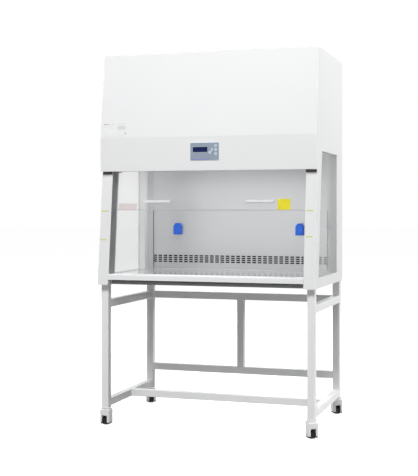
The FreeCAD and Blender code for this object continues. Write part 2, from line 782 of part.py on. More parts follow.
# Ceiling diffuser
ceiling = new_body("ceiling_diffuser")
plate = sketch(ceiling, "ceiling_plate", "XY", "ceiling_height")
rectangle(plate, "-inside + seat", "inside - seat", "ceiling_front", "back_face + sheet")
pad(ceiling, plate, "sheet")
vent = sketch(ceiling, "ceiling_vent", "XY", "ceiling_height")
rectangle(vent, VENT_LEFT + " - vent_length / 2", VENT_LEFT + " + vent_length / 2",
          "filter_front + vent_edge", "filter_front + vent_edge + vent_width")
repeat(ceiling, cut(ceiling, vent, "sheet"),
       [("X", "(vent_columns - 1) * vent_pitch", "vent_columns"),
        ("Y", "back_face - filter_front - 2 * vent_edge - vent_width", "vent_rows")])

# Sash guides: a grooved bar behind each post, with ears for the shaft and the idler
def sash_guide(side, sign):
    inward = sign == "1"
    body = new_leaning_body("sash_guide_" + side)
    width = "(post_width - wall)"
    bar = sketch(body, "guide_bar_" + side, "YZ", sign + " * (inside - seat)")
    rectangle(bar, "post_depth + 1", "post_depth + guide_depth", "guide_low", "guide_top")
    for place_up in ("shaft_height", "idler_height"):
        reach = "belt_axis + pulley_radius"
        ear = sketch(body, "guide_ear_" + side, "YZ", sign + " * (inside - seat)")
        rectangle(ear, "post_depth + 1", reach, place_up + " - pulley_radius",
                  place_up + " + pulley_radius")
        pad(body, ear, width, inward)
    pad(body, bar, width, inward)
    groove = sketch(body, "guide_groove_" + side, "YZ",
                    sign + " * (inside - seat - " + width + " + groove_depth)")
    rectangle(groove, "sash_offset - pane / 2 - groove_gap", "sash_offset + pane / 2 + groove_gap",
              "guide_low", "guide_top")
    cut(body, groove, "groove_depth + 1", inward)
    for place_up, radius in (("shaft_height", "shaft_radius"), ("idler_height", "axle_radius")):
        bore = sketch(body, "guide_bore_" + side, "YZ", sign + " * inside")
        circle(bore, "belt_axis", place_up, radius + " + run_fit")
        cut(body, bore, "post_width", inward)
    return body


for side, sign in SIDES:
    sash_guide(side, sign)

# Sash: a toughened pane, its top rail with belt clamps, and two handle bars
pane = new_leaning_body("sash_glass")
sheet_face = sketch(pane, "sash_face", "XZ", "-sash_offset - pane / 2")
rectangle(sheet_face, "-glass_half", "glass_half", "glass_low", "glass_low + sash_height")
pad(pane, sheet_face, "pane")

rail = new_leaning_body("sash_top_rail")
RAIL_X = "(between - 2)"
section = sketch(rail, "rail_section", "YZ", "-" + RAIL_X)
rectangle(section, "sash_offset - pane / 2 - rail_wall", "sash_offset + pane / 2 + rail_wall",
          "rail_top - rail_height", "rail_top")
pad(rail, section, "2 * " + RAIL_X)
groove = sketch(rail, "rail_groove", "YZ", "-" + RAIL_X)
rectangle(groove, "sash_offset - pane / 2", "sash_offset + pane / 2", "rail_top - rail_height",
          "rail_top - rail_wall")
cut(rail, groove, "2 * " + RAIL_X)
for side, sign in SIDES:
    clamp = sketch(rail, "rail_clamp_" + side, "XY", "rail_top - clamp_height")
    far = "belt_offset + belt_thick / 2"
    low = "belt_offset - belt_thick / 2"
    x_out = sign + " * (belt_x + belt_width / 2)"
    x_in = sign + " * (belt_x - belt_width / 2 - 4)"
    x_slot = sign + " * (belt_x - belt_width / 2 - seat)"
    polygon(clamp, [(x_in, "sash_offset + pane / 2 + rail_wall"),
                    (x_out, "sash_offset + pane / 2 + rail_wall"),
                    (x_out, low + " - seat"), (x_slot, low + " - seat"),
                    (x_slot, far + " + seat"), (x_out, far + " + seat"),
                    (x_out, far + " + 3"), (x_in, far + " + 3")])
    pad(rail, clamp, "clamp_height")


def sash_handle(name, sign):
    """A round-ended bar on two posts glued to the pane."""
    body = doc.addObject("PartDesign::Body", name)
    place(body, "0", "front_line", "cab_bottom")
    lean_back(body)
    face_y = "(sash_offset - pane / 2)"
    middle = "glass_low + handle_lift + handle_height / 2"
    left = sign + " * handle_place - handle_length / 2"
    bar = sketch(body, name + "_bar", "XZ", "-" + face_y + " + handle_reach / 2")
    rectangle(bar, left, left + " + handle_length", middle + " - handle_height / 2",
              middle + " + handle_height / 2")
    pad(body, bar, "handle_reach / 2")
    round_edges(body, "handle_height / 4", lambda p, d: abs(d.x) > 0.9)
    for end in ("handle_height", "handle_length - handle_height"):
        stand = sketch(body, name + "_post", "XZ", "-" + face_y)
        circle(stand, left + " + " + end, middle, "handle_height / 4")
        pad(body, stand, "handle_reach / 2 + handle_height / 8")
    return body


handles = doc.addObject("Part::Compound", "sash_handles")
handles.Label = "sash_handles"
handles.Links = [sash_handle("handle_left", "-1"), sash_handle("handle_right", "1")]
parts.append(handles)

# Balancing gear: a shaft across the top ties both sides of the sash together
shaft = new_leaning_body("sash_shaft")
rod = sketch(shaft, "shaft_rod", "YZ", "-inside + 2")
circle(rod, "belt_axis", "shaft_height", "shaft_radius")
pad(shaft, rod, "2 * inside - 4")
for side, sign in SIDES:
    drum = sketch(shaft, "shaft_drum_" + side, "YZ", sign + " * belt_x - belt_width / 2")
    circle(drum, "belt_axis", "shaft_height", "pulley_radius - seat")
    pad(shaft, drum, "belt_width")

idlers = doc.addObject("Part::Compound", "belt_idlers")
idlers.Label = "belt_idlers"
idler_list = []
for side, sign in SIDES:
    wheel = doc.addObject("PartDesign::Body", "idler_" + side)
    place(wheel, "0", "front_line", "cab_bottom")
    lean_back(wheel)
    rim = sketch(wheel, "idler_rim_" + side, "YZ", sign + " * belt_x - belt_width / 2")
    circle(rim, "belt_axis", "idler_height", "pulley_radius - seat")
    pad(wheel, rim, "belt_width")
    pin = sketch(wheel, "idler_pin_" + side, "YZ", sign + " * belt_x")
    circle(pin, "belt_axis", "idler_height", "axle_radius")
    pad(wheel, pin, "inside - 2 - belt_x", sign == "-1")
    idler_list.append(wheel)
idlers.Links = idler_list
parts.append(idlers)


def belt_loop(name, sign):
    """A flat toothed belt round the shaft's pulley and the idler below it."""
    def stadium(radius):
        axis, top, low = value("belt_axis"), value("shaft_height"), value("idler_height")
        x = value(sign + " * belt_x - belt_width / 2")
        a, b = Vector(x, axis - radius, low), Vector(x, axis - radius, top)
        c, d = Vector(x, axis + radius, top), Vector(x, axis + radius, low)
        crown = Part.Arc(b, Vector(x, axis, top + radius), c)
        foot = Part.Arc(d, Vector(x, axis, low - radius), a)
        edges = [Part.LineSegment(a, b), crown, Part.LineSegment(c, d), foot]
        return Part.Face(Part.Wire([edge.toShape() for edge in edges]))

    outer = stadium(value("pulley_radius + belt_thick"))
    ring = outer.cut(stadium(value("pulley_radius")))
    return ring.extrude(Vector(value("belt_width"), 0, 0))


belts = doc.addObject("Part::Feature", "sash_belts")
belts.Label = "sash_belts"
belts.Shape = Part.Compound([belt_loop("left", "-1"), belt_loop("right", "1")])
place(belts, "0", "front_line", "cab_bottom")
lean_back(belts)
parts.append(belts)

# Spring barrel that balances the sash, hung from the roof round the middle of the shaft
barrel = new_leaning_body("spring_barrel")
drum = sketch(barrel, "barrel_drum", "YZ", "-barrel_length / 2")
circle(drum, "belt_axis", "shaft_height", "barrel_radius")
pad(barrel, drum, "barrel_length")
bore = sketch(barrel, "barrel_bore", "YZ", "-barrel_length / 2")
circle(bore, "belt_axis", "shaft_height", "shaft_radius + run_fit")
cut(barrel, bore, "barrel_length")

# Fine filter with a rim round its pleated pack
fine_filter = new_body("fine_filter")
rim = sketch(fine_filter, "filter_rim", "XY", "filter_low")
rectangle(rim, "-filter_width / 2", "filter_width / 2", "filter_front", "back_face")
rectangle(rim, "-filter_width / 2 + filter_rim", "filter_width / 2 - filter_rim",
          "filter_front + filter_rim", "back_face - filter_rim")
pad(fine_filter, rim, "filter_height")
pack = sketch(fine_filter, "filter_pack", "XY", "filter_low + filter_recess")
rectangle(pack, "-filter_width / 2 + filter_rim", "filter_width / 2 - filter_rim",
          "filter_front + filter_rim", "back_face - filter_rim")
pad(fine_filter, pack, "filter_height - 2 * filter_recess")

# Pressure box over the filter, open below, with the blower's outlet let into its top
plenum = new_body("pressure_box")
box = sketch(plenum, "box_outside", "XY", "plenum_low")
rectangle(box, "-filter_width / 2", "filter_width / 2", "filter_front", "back_face")
pad(plenum, box, "plenum_top - plenum_low")
room = sketch(plenum, "box_inside", "XY", "plenum_low")
rectangle(room, "-filter_width / 2 + sheet", "filter_width / 2 - sheet", "filter_front + sheet",
          "back_face - sheet")
cut(plenum, room, "plenum_top - plenum_low - sheet")
port = sketch(plenum, "box_port", "XY", "plenum_top - sheet")
OUT_Y = "blower_centre_y + scroll_start + 3 * scroll_growth"
rectangle(port, "-blower_width / 2 + sheet", "blower_width / 2 - sheet",
          OUT_Y + " - outlet_width + sheet", OUT_Y + " - sheet")
cut(plenum, port, "sheet")


# Blower: a scroll of widening quarter arcs that opens down into the pressure box
def scroll_face(inset):
    """Scroll outline in the YZ plane, set in by a thickness."""
    y, z = value("blower_centre_y"), value("blower_centre_z")
    start, growth = value("scroll_start"), value("scroll_growth")
    foot = value("plenum_top")
    edges = []
    angle = 180.0
    cy, cz = y, z
    radius = start
    joint = Vector(0, cy - radius + inset, cz)
    for quarter in range(2):
        spots = []
        for step in (0.5, 1.0):
            turn = math.radians(angle - 90 * step)
            spots.append(Vector(0, cy + (radius - inset) * math.cos(turn),
                                cz + (radius - inset) * math.sin(turn)))
        edges.append(Part.Arc(joint, spots[0], spots[1]).toShape())
        joint = spots[1]
        if quarter == 0:
            cz -= growth
            radius += growth
        angle -= 90
    right = joint.y
    left = right + 2 * inset - value("outlet_width")
    corner = Vector(0, right, foot)
    edges.append(Part.LineSegment(joint, corner).toShape())
    low_left = Vector(0, left, foot)
    edges.append(Part.LineSegment(corner, low_left).toShape())
    tongue = Vector(0, left, z - math.sqrt((start - inset) ** 2 - (left - y) ** 2))
    edges.append(Part.LineSegment(low_left, tongue).toShape())
    start_spot = Vector(0, y - start + inset, z)
    turn = math.atan2(tongue.z - z, tongue.y - y) % (2 * math.pi)
    middle = (turn + math.pi) / 2
    bend = Vector(0, y + (start - inset) * math.cos(middle), z + (start - inset) * math.sin(middle))
    edges.append(Part.Arc(tongue, bend, start_spot).toShape())
    return Part.Face(Part.Wire(edges))


def blower_shape():
    """Scroll housing with a round inlet in each cheek and a motor arm across one of them."""
    wide, thick = value("blower_width"), value("sheet")
    y, z = value("blower_centre_y"), value("blower_centre_z")
    shell = scroll_face(0).extrude(Vector(wide, 0, 0))
    shell.translate(Vector(-wide / 2, 0, 0))
    room = scroll_face(thick).extrude(Vector(wide - 2 * thick, 0, 0))
    room.translate(Vector(thick - wide / 2, 0, 0))
    port = Part.makeBox(wide - 2 * thick, value("outlet_width") - 2 * thick, 4 * thick)
    right = y + value("scroll_start")
    port.translate(Vector(thick - wide / 2, right + thick - value("outlet_width"),
                          value("plenum_top") - 2 * thick))
    inlets = Part.makeCylinder(value("inlet_radius"), wide + 2, Vector(-wide / 2 - 1, y, z),
                               Vector(1, 0, 0))
    shell = shell.cut(room).cut(port).cut(inlets)
    arm_thick = 2 * thick
    arm = Part.makeBox(arm_thick, 2 * value("inlet_radius") + 20, 30)
    arm.translate(Vector(-wide / 2 - arm_thick, y - value("inlet_radius") - 10, z - 15))
    pin = Part.makeCylinder(value("hub_bore - run_fit"), wide / 2 + arm_thick,
                            Vector(-wide / 2 - arm_thick, y, z), Vector(1, 0, 0))
    return shell.fuse(arm).fuse(pin).removeSplitter()


blower = doc.addObject("Part::Feature", "blower_housing")
blower.Label = "blower_housing"
blower.Shape = blower_shape()
place(blower, "0", "front_line", "0")
parts.append(blower)

# Impeller: a hub with the rotor in it, a web, and forward-curved blades between two rims
impeller = new_body("impeller", y="blower_centre_y", z="blower_centre_z")
hub = sketch(impeller, "impeller_hub", "YZ", "-wheel_width / 4")
circle(hub, "0", "0", "hub_radius")
pad(impeller, hub, "wheel_width / 2")
web = sketch(impeller, "impeller_web", "YZ", "-2")
circle(web, "0", "0", "wheel_radius")
pad(impeller, web, "4")
for label, spot in (("near", "-wheel_width / 2"), ("far", "wheel_width / 2 - 4")):
    ring = sketch(impeller, "impeller_ring_" + label, "YZ", spot)
    circle(ring, "0", "0", "wheel_radius")
    circle(ring, "0", "0", "wheel_radius - blade_depth")
    pad(impeller, ring, "4")
blade = sketch(impeller, "impeller_blade", "YZ", "-wheel_width / 2")
INNER = "wheel_radius - blade_depth + 1"
polygon(blade, [(INNER, "0"), ("wheel_radius - blade_depth / 2", "blade_depth / 8"),
                ("wheel_radius - 1", "blade_depth / 2"),
                ("wheel_radius - 1 - blade_thick", "blade_depth / 2 + blade_thick"),
                ("wheel_radius - blade_depth / 2 - blade_thick / 2", "blade_depth / 8 + blade_thick"),
                (INNER, "blade_thick")])
vane = pad(impeller, blade, "wheel_width")
ring_of_blades = impeller.newObject("PartDesign::PolarPattern", "impeller_blades")
ring_of_blades.Originals = [vane]
ring_of_blades.Axis = (origin_part(impeller, "X_Axis"), [""])
ring_of_blades.Angle = 360
ring_of_blades.setExpression("Occurrences", bound("blade_count"))
impeller.Tip = ring_of_blades
doc.recompute()
bore = sketch(impeller, "impeller_bore", "YZ", "-wheel_width / 2")
circle(bore, "0", "0", "hub_bore")
cut(impeller, bore, "wheel_width / 2 + 2")


# Lamps under the ceiling and high on the back wall
def lamp(name, length, radius, y, z, lift):
    """A tube between two holders that hang from the ceiling plate."""
    tube = doc.addObject("Part::Cylinder", name + "_tube")
    tube.setExpression("Radius", bound(radius))
    tube.setExpression("Height", bound(length))
    tube.Placement.Rotation = Rotation(Vector(0, 1, 0), 90)
    place(tube, "-(" + length + ") / 2", "front_line + " + y, z)
    holders = []
    for label, spot in (("left", "-(" + length + ") / 2 - 12"), ("right", length + " / 2")):
        block = doc.addObject("Part::Box", name + "_holder_" + label)
        block.setExpression("Length", "12")
        block.setExpression("Width", bound("2.4 * " + radius))
        block.setExpression("Height", bound(lift + " + 1.2 * " + radius))
        place(block, spot, "front_line + " + y + " - 1.2 * " + radius, z + " - 1.2 * " + radius)
        holders.append(block)
    joined = doc.addObject("Part::MultiFuse", name)
    joined.Shapes = [tube] + holders
    return joined


lamps = doc.addObject("Part::Compound", "lamps")
lamps.Label = "lamps"
lamps.Links = [
    lamp("work_lamp", "lamp_length", "lamp_radius", "ceiling_front + lamp_gap",
         "ceiling_height - 2 * lamp_radius", "2 * lamp_radius"),
    lamp("ultraviolet_lamp", "uv_length", "uv_radius", "back_face - 3 * uv_radius",
         "ceiling_height - 4 * uv_radius", "4 * uv_radius"),
]
parts.append(lamps)

# Control panel on the upright part of the cover
panel = new_body("control_panel")
plate = sketch(panel, "panel_plate", "XZ", "-cover_setback")
rectangle(plate, "-panel_width / 2", "panel_width / 2", "panel_low", "panel_low + panel_tall")
pad(panel, plate, "panel_thick")
round_edges(panel, "panel_round", lambda p, d: abs(d.y) > 0.99)
glass_bed = sketch(panel, "panel_bed", "XZ", "-cover_setback + panel_thick - display_thick")
rectangle(glass_bed, "display_left", "display_left + display_width", "display_low",
          "display_low + display_tall")
cut(panel, glass_bed, "display_thick + 1")
BUTTONS = ("low", "middle", "high")
for number, label in enumerate(BUTTONS):
    bore = sketch(panel, "panel_bore_" + label, "XZ", "-cover_setback + 0.2")
    circle(bore, "button_place", "button_low + %d * button_pitch" % number, "button_radius + seat")
    cut(panel, bore, "panel_thick + 1")
    button = new_body("button_" + label)
    cap = sketch(button, "cap_" + label, "XZ", "-cover_setback + button_travel + seat")
    circle(cap, "button_place", "button_low + %d * button_pitch" % number, "button_radius")
    pad(button, cap, "panel_thick + button_proud - button_travel - seat")
    bevel_edges(button, "button_bevel", lambda p, d: near(p.y, "-panel_thick - button_proud + cover_setback"))

display = new_body("display")
glass = sketch(display, "display_glass", "XZ", "-cover_setback + panel_thick - display_thick")
rectangle(glass, "display_left + seat", "display_left + display_width - seat", "display_low + seat",
          "display_low + display_tall - seat")
pad(display, glass, "display_thick")

# Splash-proof sockets on the back wall, narrower at the top, each with a lid hinged there
HINGE_Z = "(socket_low + socket_tall - hinge_radius - 2)"
HINGE_Y = "(socket_face - hinge_radius - 1)"
KNUCKLE = "(socket_top / 2 - 4)"


def socket_outline(inset, top):
    """Outline with clipped upper corners, set in by a margin, up to a height."""
    side = "(socket_width / 2 - " + inset + ")"
    shoulder = "(socket_low + socket_tall - socket_shoulder - " + inset + " / 2)"
    lean = "((socket_width - socket_top) / 2 / socket_shoulder)"
    crown = "(" + side + " - " + lean + " * (" + top + " - " + shoulder + "))"
    low = "socket_low + " + inset
    return [("-" + side, low), (side, low), (side, shoulder), (crown, top), ("-" + crown, top),
            ("-" + side, shoulder)]


socket_list = []
for side, sign in SIDES:
    body = doc.addObject("PartDesign::Body", "socket_" + side)
    place(body, sign + " * socket_place", "front_line", "0")
    block = sketch(body, "socket_block_" + side, "XZ", "-back_face")
    polygon(block, socket_outline("0", "(socket_low + socket_tall)"))
    pad(body, block, "socket_depth")
    well = sketch(body, "socket_well_" + side, "XZ", "-socket_face - socket_depth / 2")
    circle(well, "0", "socket_low + socket_width / 2", "socket_width / 2 - 2 * lid_margin")
    cut(body, well, "socket_depth")
    for end in ("-1", "1"):
        ear = sketch(body, "socket_ear_" + side, "YZ", end + " * (socket_top / 2 - 1.5) - 1.5")
        rectangle(ear, HINGE_Y + " - hinge_radius", "socket_face + 1", HINGE_Z + " - hinge_radius",
                  HINGE_Z + " + hinge_radius")
        pad(body, ear, "3")
    pin = sketch(body, "socket_pin_" + side, "YZ", "-socket_top / 2 + 1")
    circle(pin, HINGE_Y, HINGE_Z, "hinge_radius / 2")
    pad(body, pin, "socket_top - 2")
    socket_list.append(body)
    lid = new_body("socket_lid_" + side, x=sign + " * socket_place")
    cap = sketch(lid, "lid_cap_" + side, "XZ", "-socket_face + seat")
    polygon(cap, socket_outline("lid_margin", "(" + HINGE_Z + " - hinge_radius - 2)"))
    pad(lid, cap, "lid_thick")
    knuckle = sketch(lid, "lid_knuckle_" + side, "YZ", "-" + KNUCKLE)
    circle(knuckle, HINGE_Y, HINGE_Z, "hinge_radius")
    pad(lid, knuckle, "2 * " + KNUCKLE)
    link = sketch(lid, "lid_link_" + side, "YZ", "-" + KNUCKLE)
    rectangle(link, HINGE_Y + " - hinge_radius", "socket_face - seat",
              HINGE_Z + " - hinge_radius - 2.5", HINGE_Z)
    pad(lid, link, "2 * " + KNUCKLE)
    eye = sketch(lid, "lid_eye_" + side, "YZ", "-socket_width / 2")
    circle(eye, HINGE_Y, HINGE_Z, "hinge_radius / 2 + run_fit")
    cut(lid, eye, "socket_width")
socket_bodies = doc.addObject("Part::Compound", "sockets")
socket_bodies.Label = "sockets"
socket_bodies.Links = socket_list
parts.append(socket_bodies)

# Mains inlet in the rear cover
inlet = new_body("power_inlet")
block = sketch(inlet, "inlet_block", "XZ", "-cab_depth")
rectangle(block, "inlet_place", "inlet_place + inlet_width", "inlet_low", "inlet_low + inlet_tall")
pad(inlet, block, "inlet_tall")
well = sketch(inlet, "inlet_well", "XZ", "-cab_depth")
rectangle(well, "inlet_place + 8", "inlet_place + inlet_width - 8", "inlet_low + 5",
          "inlet_low + inlet_tall - 5")
cut(inlet, well, "inlet_tall / 2")
for number in (-1, 0, 1):
    blade = sketch(inlet, "inlet_blade_%d" % (number + 1), "XZ", "-cab_depth + 4")
    rectangle(blade, "inlet_place + inlet_width / 2 + %d * 9 - 1" % number,
              "inlet_place + inlet_width / 2 + %d * 9 + 1" % number,
              "inlet_low + inlet_tall / 2 - 3", "inlet_low + inlet_tall / 2 + 3")
    pad(inlet, blade, "inlet_tall / 2 - 3")

doc.recompute()
for item in doc.Objects:
    if "Invalid" in item.State or "Error" in item.State:
        raise ValueError("failed feature: " + item.Name)
for item in parts:
    if item.Shape.isNull() or not item.Shape.isValid():
        raise ValueError("bad shape: " + item.Label)
os.makedirs("parts", exist_ok=True)
for item in parts:
    item.Shape.exportStep("parts/" + item.Label + ".step")
print(len(parts), "pieces")
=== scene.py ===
import json
import math

import bmesh
import bpy
from mathutils import Matrix, Vector


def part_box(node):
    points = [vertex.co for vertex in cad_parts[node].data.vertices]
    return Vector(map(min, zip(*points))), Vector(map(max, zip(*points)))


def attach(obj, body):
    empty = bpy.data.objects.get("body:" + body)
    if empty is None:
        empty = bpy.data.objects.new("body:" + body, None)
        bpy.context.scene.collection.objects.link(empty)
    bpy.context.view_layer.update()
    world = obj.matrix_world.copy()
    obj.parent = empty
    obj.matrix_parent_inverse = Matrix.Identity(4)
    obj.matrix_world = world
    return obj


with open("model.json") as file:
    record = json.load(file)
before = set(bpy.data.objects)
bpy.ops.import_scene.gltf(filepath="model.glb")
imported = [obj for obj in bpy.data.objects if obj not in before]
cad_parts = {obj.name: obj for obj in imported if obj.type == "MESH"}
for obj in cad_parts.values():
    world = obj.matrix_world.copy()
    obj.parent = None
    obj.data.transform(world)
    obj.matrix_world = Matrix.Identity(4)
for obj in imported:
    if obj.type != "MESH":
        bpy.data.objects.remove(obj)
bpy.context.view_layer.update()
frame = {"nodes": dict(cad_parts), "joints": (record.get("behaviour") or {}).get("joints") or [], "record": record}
nodes = frame["nodes"]
record = frame["record"]
slot_of = {item["node"]: item["material_slot"] for item in record["subparts"]}
joint_of = {item["name"]: item for item in frame["joints"]}

# Camera
# The place and lens come from a solution of the photograph's straight edges.
# The foot of the front posts is the line that the camera's distance is measured from.
FOOT_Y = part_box("side_wall_left")[0].y
FOOT_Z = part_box("side_wall_left")[0].z
CAMERA_PLACE = (1.6719, FOOT_Y - 5.0714, 1.1558)
CAMERA_TURN = 0.312
CAMERA_LENS = 77.90
CAMERA_SHIFT_Y = -0.0584

camera_data = bpy.data.cameras.new("camera")
camera_data.lens = CAMERA_LENS
camera_data.sensor_width = 36
camera_data.shift_y = CAMERA_SHIFT_Y
camera_data.clip_end = 200
camera = bpy.data.objects.new("camera", camera_data)
camera.location = CAMERA_PLACE
camera.rotation_euler = (math.pi / 2, 0, CAMERA_TURN)
bpy.context.scene.collection.objects.link(camera)
bpy.context.scene.camera = camera
bpy.context.scene.view_settings.view_transform = "Standard"

# Places that several pieces share, in metres, read from the frame where it has them
COVER_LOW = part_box("front_cover")[0]
LIP_Z = COVER_LOW.z
CREASE_Z = LIP_Z + 0.179
HALF_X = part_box("side_wall_right")[1].x
REAR_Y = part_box("rear_cover")[1].y
WORKTOP_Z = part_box("worktop")[1].z
COVER_LEAN = math.radians(7.9)
WINDOW_LEAN = math.radians(8)
LEAN = Vector(joint_of["sash_slide"]["axis"]).normalized()
DEEP = Vector((0, LEAN.z, -LEAN.y))
PANE_FRONT = 0.0655
PANE_THICK = 0.005
X, Y, Z = Vector((1, 0, 0)), Vector((0, 1, 0)), Vector((0, 0, 1))

# Slots of the back wall: rows from the worktop up, and columns from the middle outwards
SLOT_ROWS = 4
SLOT_COLUMNS = 33
SLOT_PITCH = 0.0321
SLOT_RISE = 0.0117
SLOT_LOWEST = WORKTOP_Z + 0.043
SLOT_HALF_LENGTH = 0.010
SLOT_HALF_HEIGHT = 0.0025
FOLD_X = 0.525

# Casters: the axle's height and its place behind the swivel, and the turn of all but one
AXLE_Z = 0.022
AXLE_BEHIND = -0.008
CASTER_TURN = math.radians(30)

# Light: white where 1, for the floor and world that the camera sees, and dimmer for bounces
FLOOR_GLOW = 0.875
FLOOR_BOUNCE = 0.10
WORLD_FILL = 0.13


# Node helpers
def new_material(name):
    """A material with a principled shader, and its node tree."""
    material = bpy.data.materials.new(name)
    material.use_nodes = True
    tree = material.node_tree
    return material, tree, tree.nodes["Principled BSDF"]


def add(tree, kind, **settings):
    """A node with its inputs or properties set by name."""
    node = tree.nodes.new(kind)
    for key, setting in settings.items():
        if key in node.inputs:
            node.inputs[key].default_value = setting
        else:
            setattr(node, key, setting)
    return node


def place_coordinates(tree, scale=(1, 1, 1)):
    """Object coordinates in metres, stretched along the axes."""
    source = tree.nodes.new("ShaderNodeTexCoord")
    mapping = tree.nodes.new("ShaderNodeMapping")
    mapping.inputs["Scale"].default_value = scale
    tree.links.new(source.outputs["Object"], mapping.inputs["Vector"])
    return mapping.outputs["Vector"]


def noise(tree, vector, scale, detail=3.0, roughness=0.5):
    node = tree.nodes.new("ShaderNodeTexNoise")
    node.inputs["Scale"].default_value = scale
    node.inputs["Detail"].default_value = detail
    node.inputs["Roughness"].default_value = roughness
    tree.links.new(vector, node.inputs["Vector"])
    return node.outputs["Fac"]


def ramp(tree, value, stops):
    """A colour ramp from (position, colour) stops."""
    node = tree.nodes.new("ShaderNodeValToRGB")
    tree.links.new(value, node.inputs["Fac"])
    elements = node.color_ramp.elements
    while len(elements) < len(stops):
        elements.new(0.5)
    for element, (position, colour) in zip(elements, stops):
        element.position = position
        element.color = (*colour, 1)
    return node.outputs["Color"]


def spread(tree, value, low, high):
    """Map a 0 to 1 value to a narrower range."""
    node = tree.nodes.new("ShaderNodeMapRange")
    node.inputs["To Min"].default_value = low
    node.inputs["To Max"].default_value = high
    tree.links.new(value, node.inputs["Value"])
    return node.outputs["Result"]


def bump(tree, height, shader, strength, distance):
    node = tree.nodes.new("ShaderNodeBump")
    node.inputs["Strength"].default_value = strength
    node.inputs["Distance"].default_value = distance
    tree.links.new(height, node.inputs["Height"])
    tree.links.new(node.outputs["Normal"], shader.inputs["Normal"])


def scaled(colour, factor):
    return tuple(inner_post_shade * factor for inner_post_shade in colour)


# Materials
def painted(name, colour, gloss=0.38):
    """Powder coat: fine orange peel, faint large patches and slightly uneven gloss."""
    material, tree, shader = new_material(name)
    spot = place_coordinates(tree)
    patches = noise(tree, spot, 3.0, 2.0)
    colours = ramp(tree, patches, [(0.3, scaled(colour, 0.985)), (0.7, colour)])
    tree.links.new(colours, shader.inputs["Base Color"])
    tree.links.new(spread(tree, noise(tree, spot, 40.0), gloss - 0.05, gloss + 0.07),
                   shader.inputs["Roughness"])
    shader.inputs["Specular IOR Level"].default_value = 0.4
    bump(tree, noise(tree, spot, 900.0, 2.0), shader, 0.08, 0.0004)
    return material


def brushed(name, colour, grain=(4, 400, 400), rough=0.3, metal=1.0):
    """Stainless sheet with a fine grain along X."""
    material, tree, shader = new_material(name)
    lines = noise(tree, place_coordinates(tree, grain), 1.0, 4.0, 0.6)
    cloud = noise(tree, place_coordinates(tree), 2.5, 2.0)
    mixed = add(tree, "ShaderNodeMath", operation="MULTIPLY")
    tree.links.new(lines, mixed.inputs[0])
    tree.links.new(cloud, mixed.inputs[1])
    colours = ramp(tree, mixed.outputs[0], [(0.1, scaled(colour, 0.92)), (0.45, colour)])
    tree.links.new(colours, shader.inputs["Base Color"])
    tree.links.new(spread(tree, lines, rough - 0.06, rough + 0.1), shader.inputs["Roughness"])
    shader.inputs["Metallic"].default_value = metal
    bump(tree, lines, shader, 0.05, 0.0003)
    return material


def glazing(name, tint, low, high):
    """Clear pane: nearly see-through face on, and more solid at a glance, where its pale base colour shows as a
    painted reflection beside the real gloss.
    """
    material, tree, shader = new_material(name)
    facing = tree.nodes.new("ShaderNodeLayerWeight")
    facing.inputs["Blend"].default_value = 0.35
    smear = noise(tree, place_coordinates(tree, (1, 1, 0.4)), 6.0, 3.0)
    tree.links.new(ramp(tree, smear, [(0.3, scaled(tint, 0.98)), (0.7, tint)]),
                   shader.inputs["Base Color"])
    tree.links.new(spread(tree, facing.outputs["Fresnel"], low, high), shader.inputs["Alpha"])
    tree.links.new(spread(tree, smear, 0.03, 0.06), shader.inputs["Roughness"])
    shader.inputs["IOR"].default_value = 1.5
    return material


def moulded(name, colour, rough, bumpy=0.05, grain=600.0, shine=0.5):
    """Plastic or rubber with a fine moulded grain."""
    material, tree, shader = new_material(name)
    spot = place_coordinates(tree)
    colours = ramp(tree, noise(tree, spot, 25.0), [(0.3, scaled(colour, 0.93)), (0.7, colour)])
    tree.links.new(colours, shader.inputs["Base Color"])
    tree.links.new(spread(tree, noise(tree, spot, 60.0), rough - 0.05, rough + 0.08),
                   shader.inputs["Roughness"])
    shader.inputs["Specular IOR Level"].default_value = shine
    bump(tree, noise(tree, spot, grain), shader, bumpy, 0.0004)
    return material


def banded(name, dark, light, scale, direction, rough):
    """A surface with fine even bands, such as pleats or belt teeth."""
    material, tree, shader = new_material(name)
    wave = add(tree, "ShaderNodeTexWave", Scale=scale, Distortion=0.4, bands_direction=direction)
    tree.links.new(place_coordinates(tree), wave.inputs["Vector"])
    tree.links.new(ramp(tree, wave.outputs["Fac"], [(0.2, dark), (0.8, light)]),
                   shader.inputs["Base Color"])
    tree.links.new(spread(tree, wave.outputs["Fac"], rough, rough + 0.1), shader.inputs["Roughness"])
    bump(tree, wave.outputs["Fac"], shader, 0.5, 0.001)
    return material


def painted_shade_sheet(name, low, high, bottom, top):
    """Dull sheet with painted shade: darker towards its upper edge, where a ledge above would shade it."""
    material, tree, shader = new_material(name)
    split = tree.nodes.new("ShaderNodeSeparateXYZ")
    tree.links.new(tree.nodes.new("ShaderNodeNewGeometry").outputs["Position"], split.inputs[0])
    rise = add(tree, "ShaderNodeMapRange", **{"From Min": low, "From Max": high})
    tree.links.new(split.outputs["Z"], rise.inputs["Value"])
    tree.links.new(ramp(tree, rise.outputs["Result"], [(0.0, bottom), (1.0, top)]),
                   shader.inputs["Base Color"])
    tree.links.new(spread(tree, noise(tree, place_coordinates(tree), 30.0), 0.45, 0.6),
                   shader.inputs["Roughness"])
    shader.inputs["Specular IOR Level"].default_value = 0.2
    return material


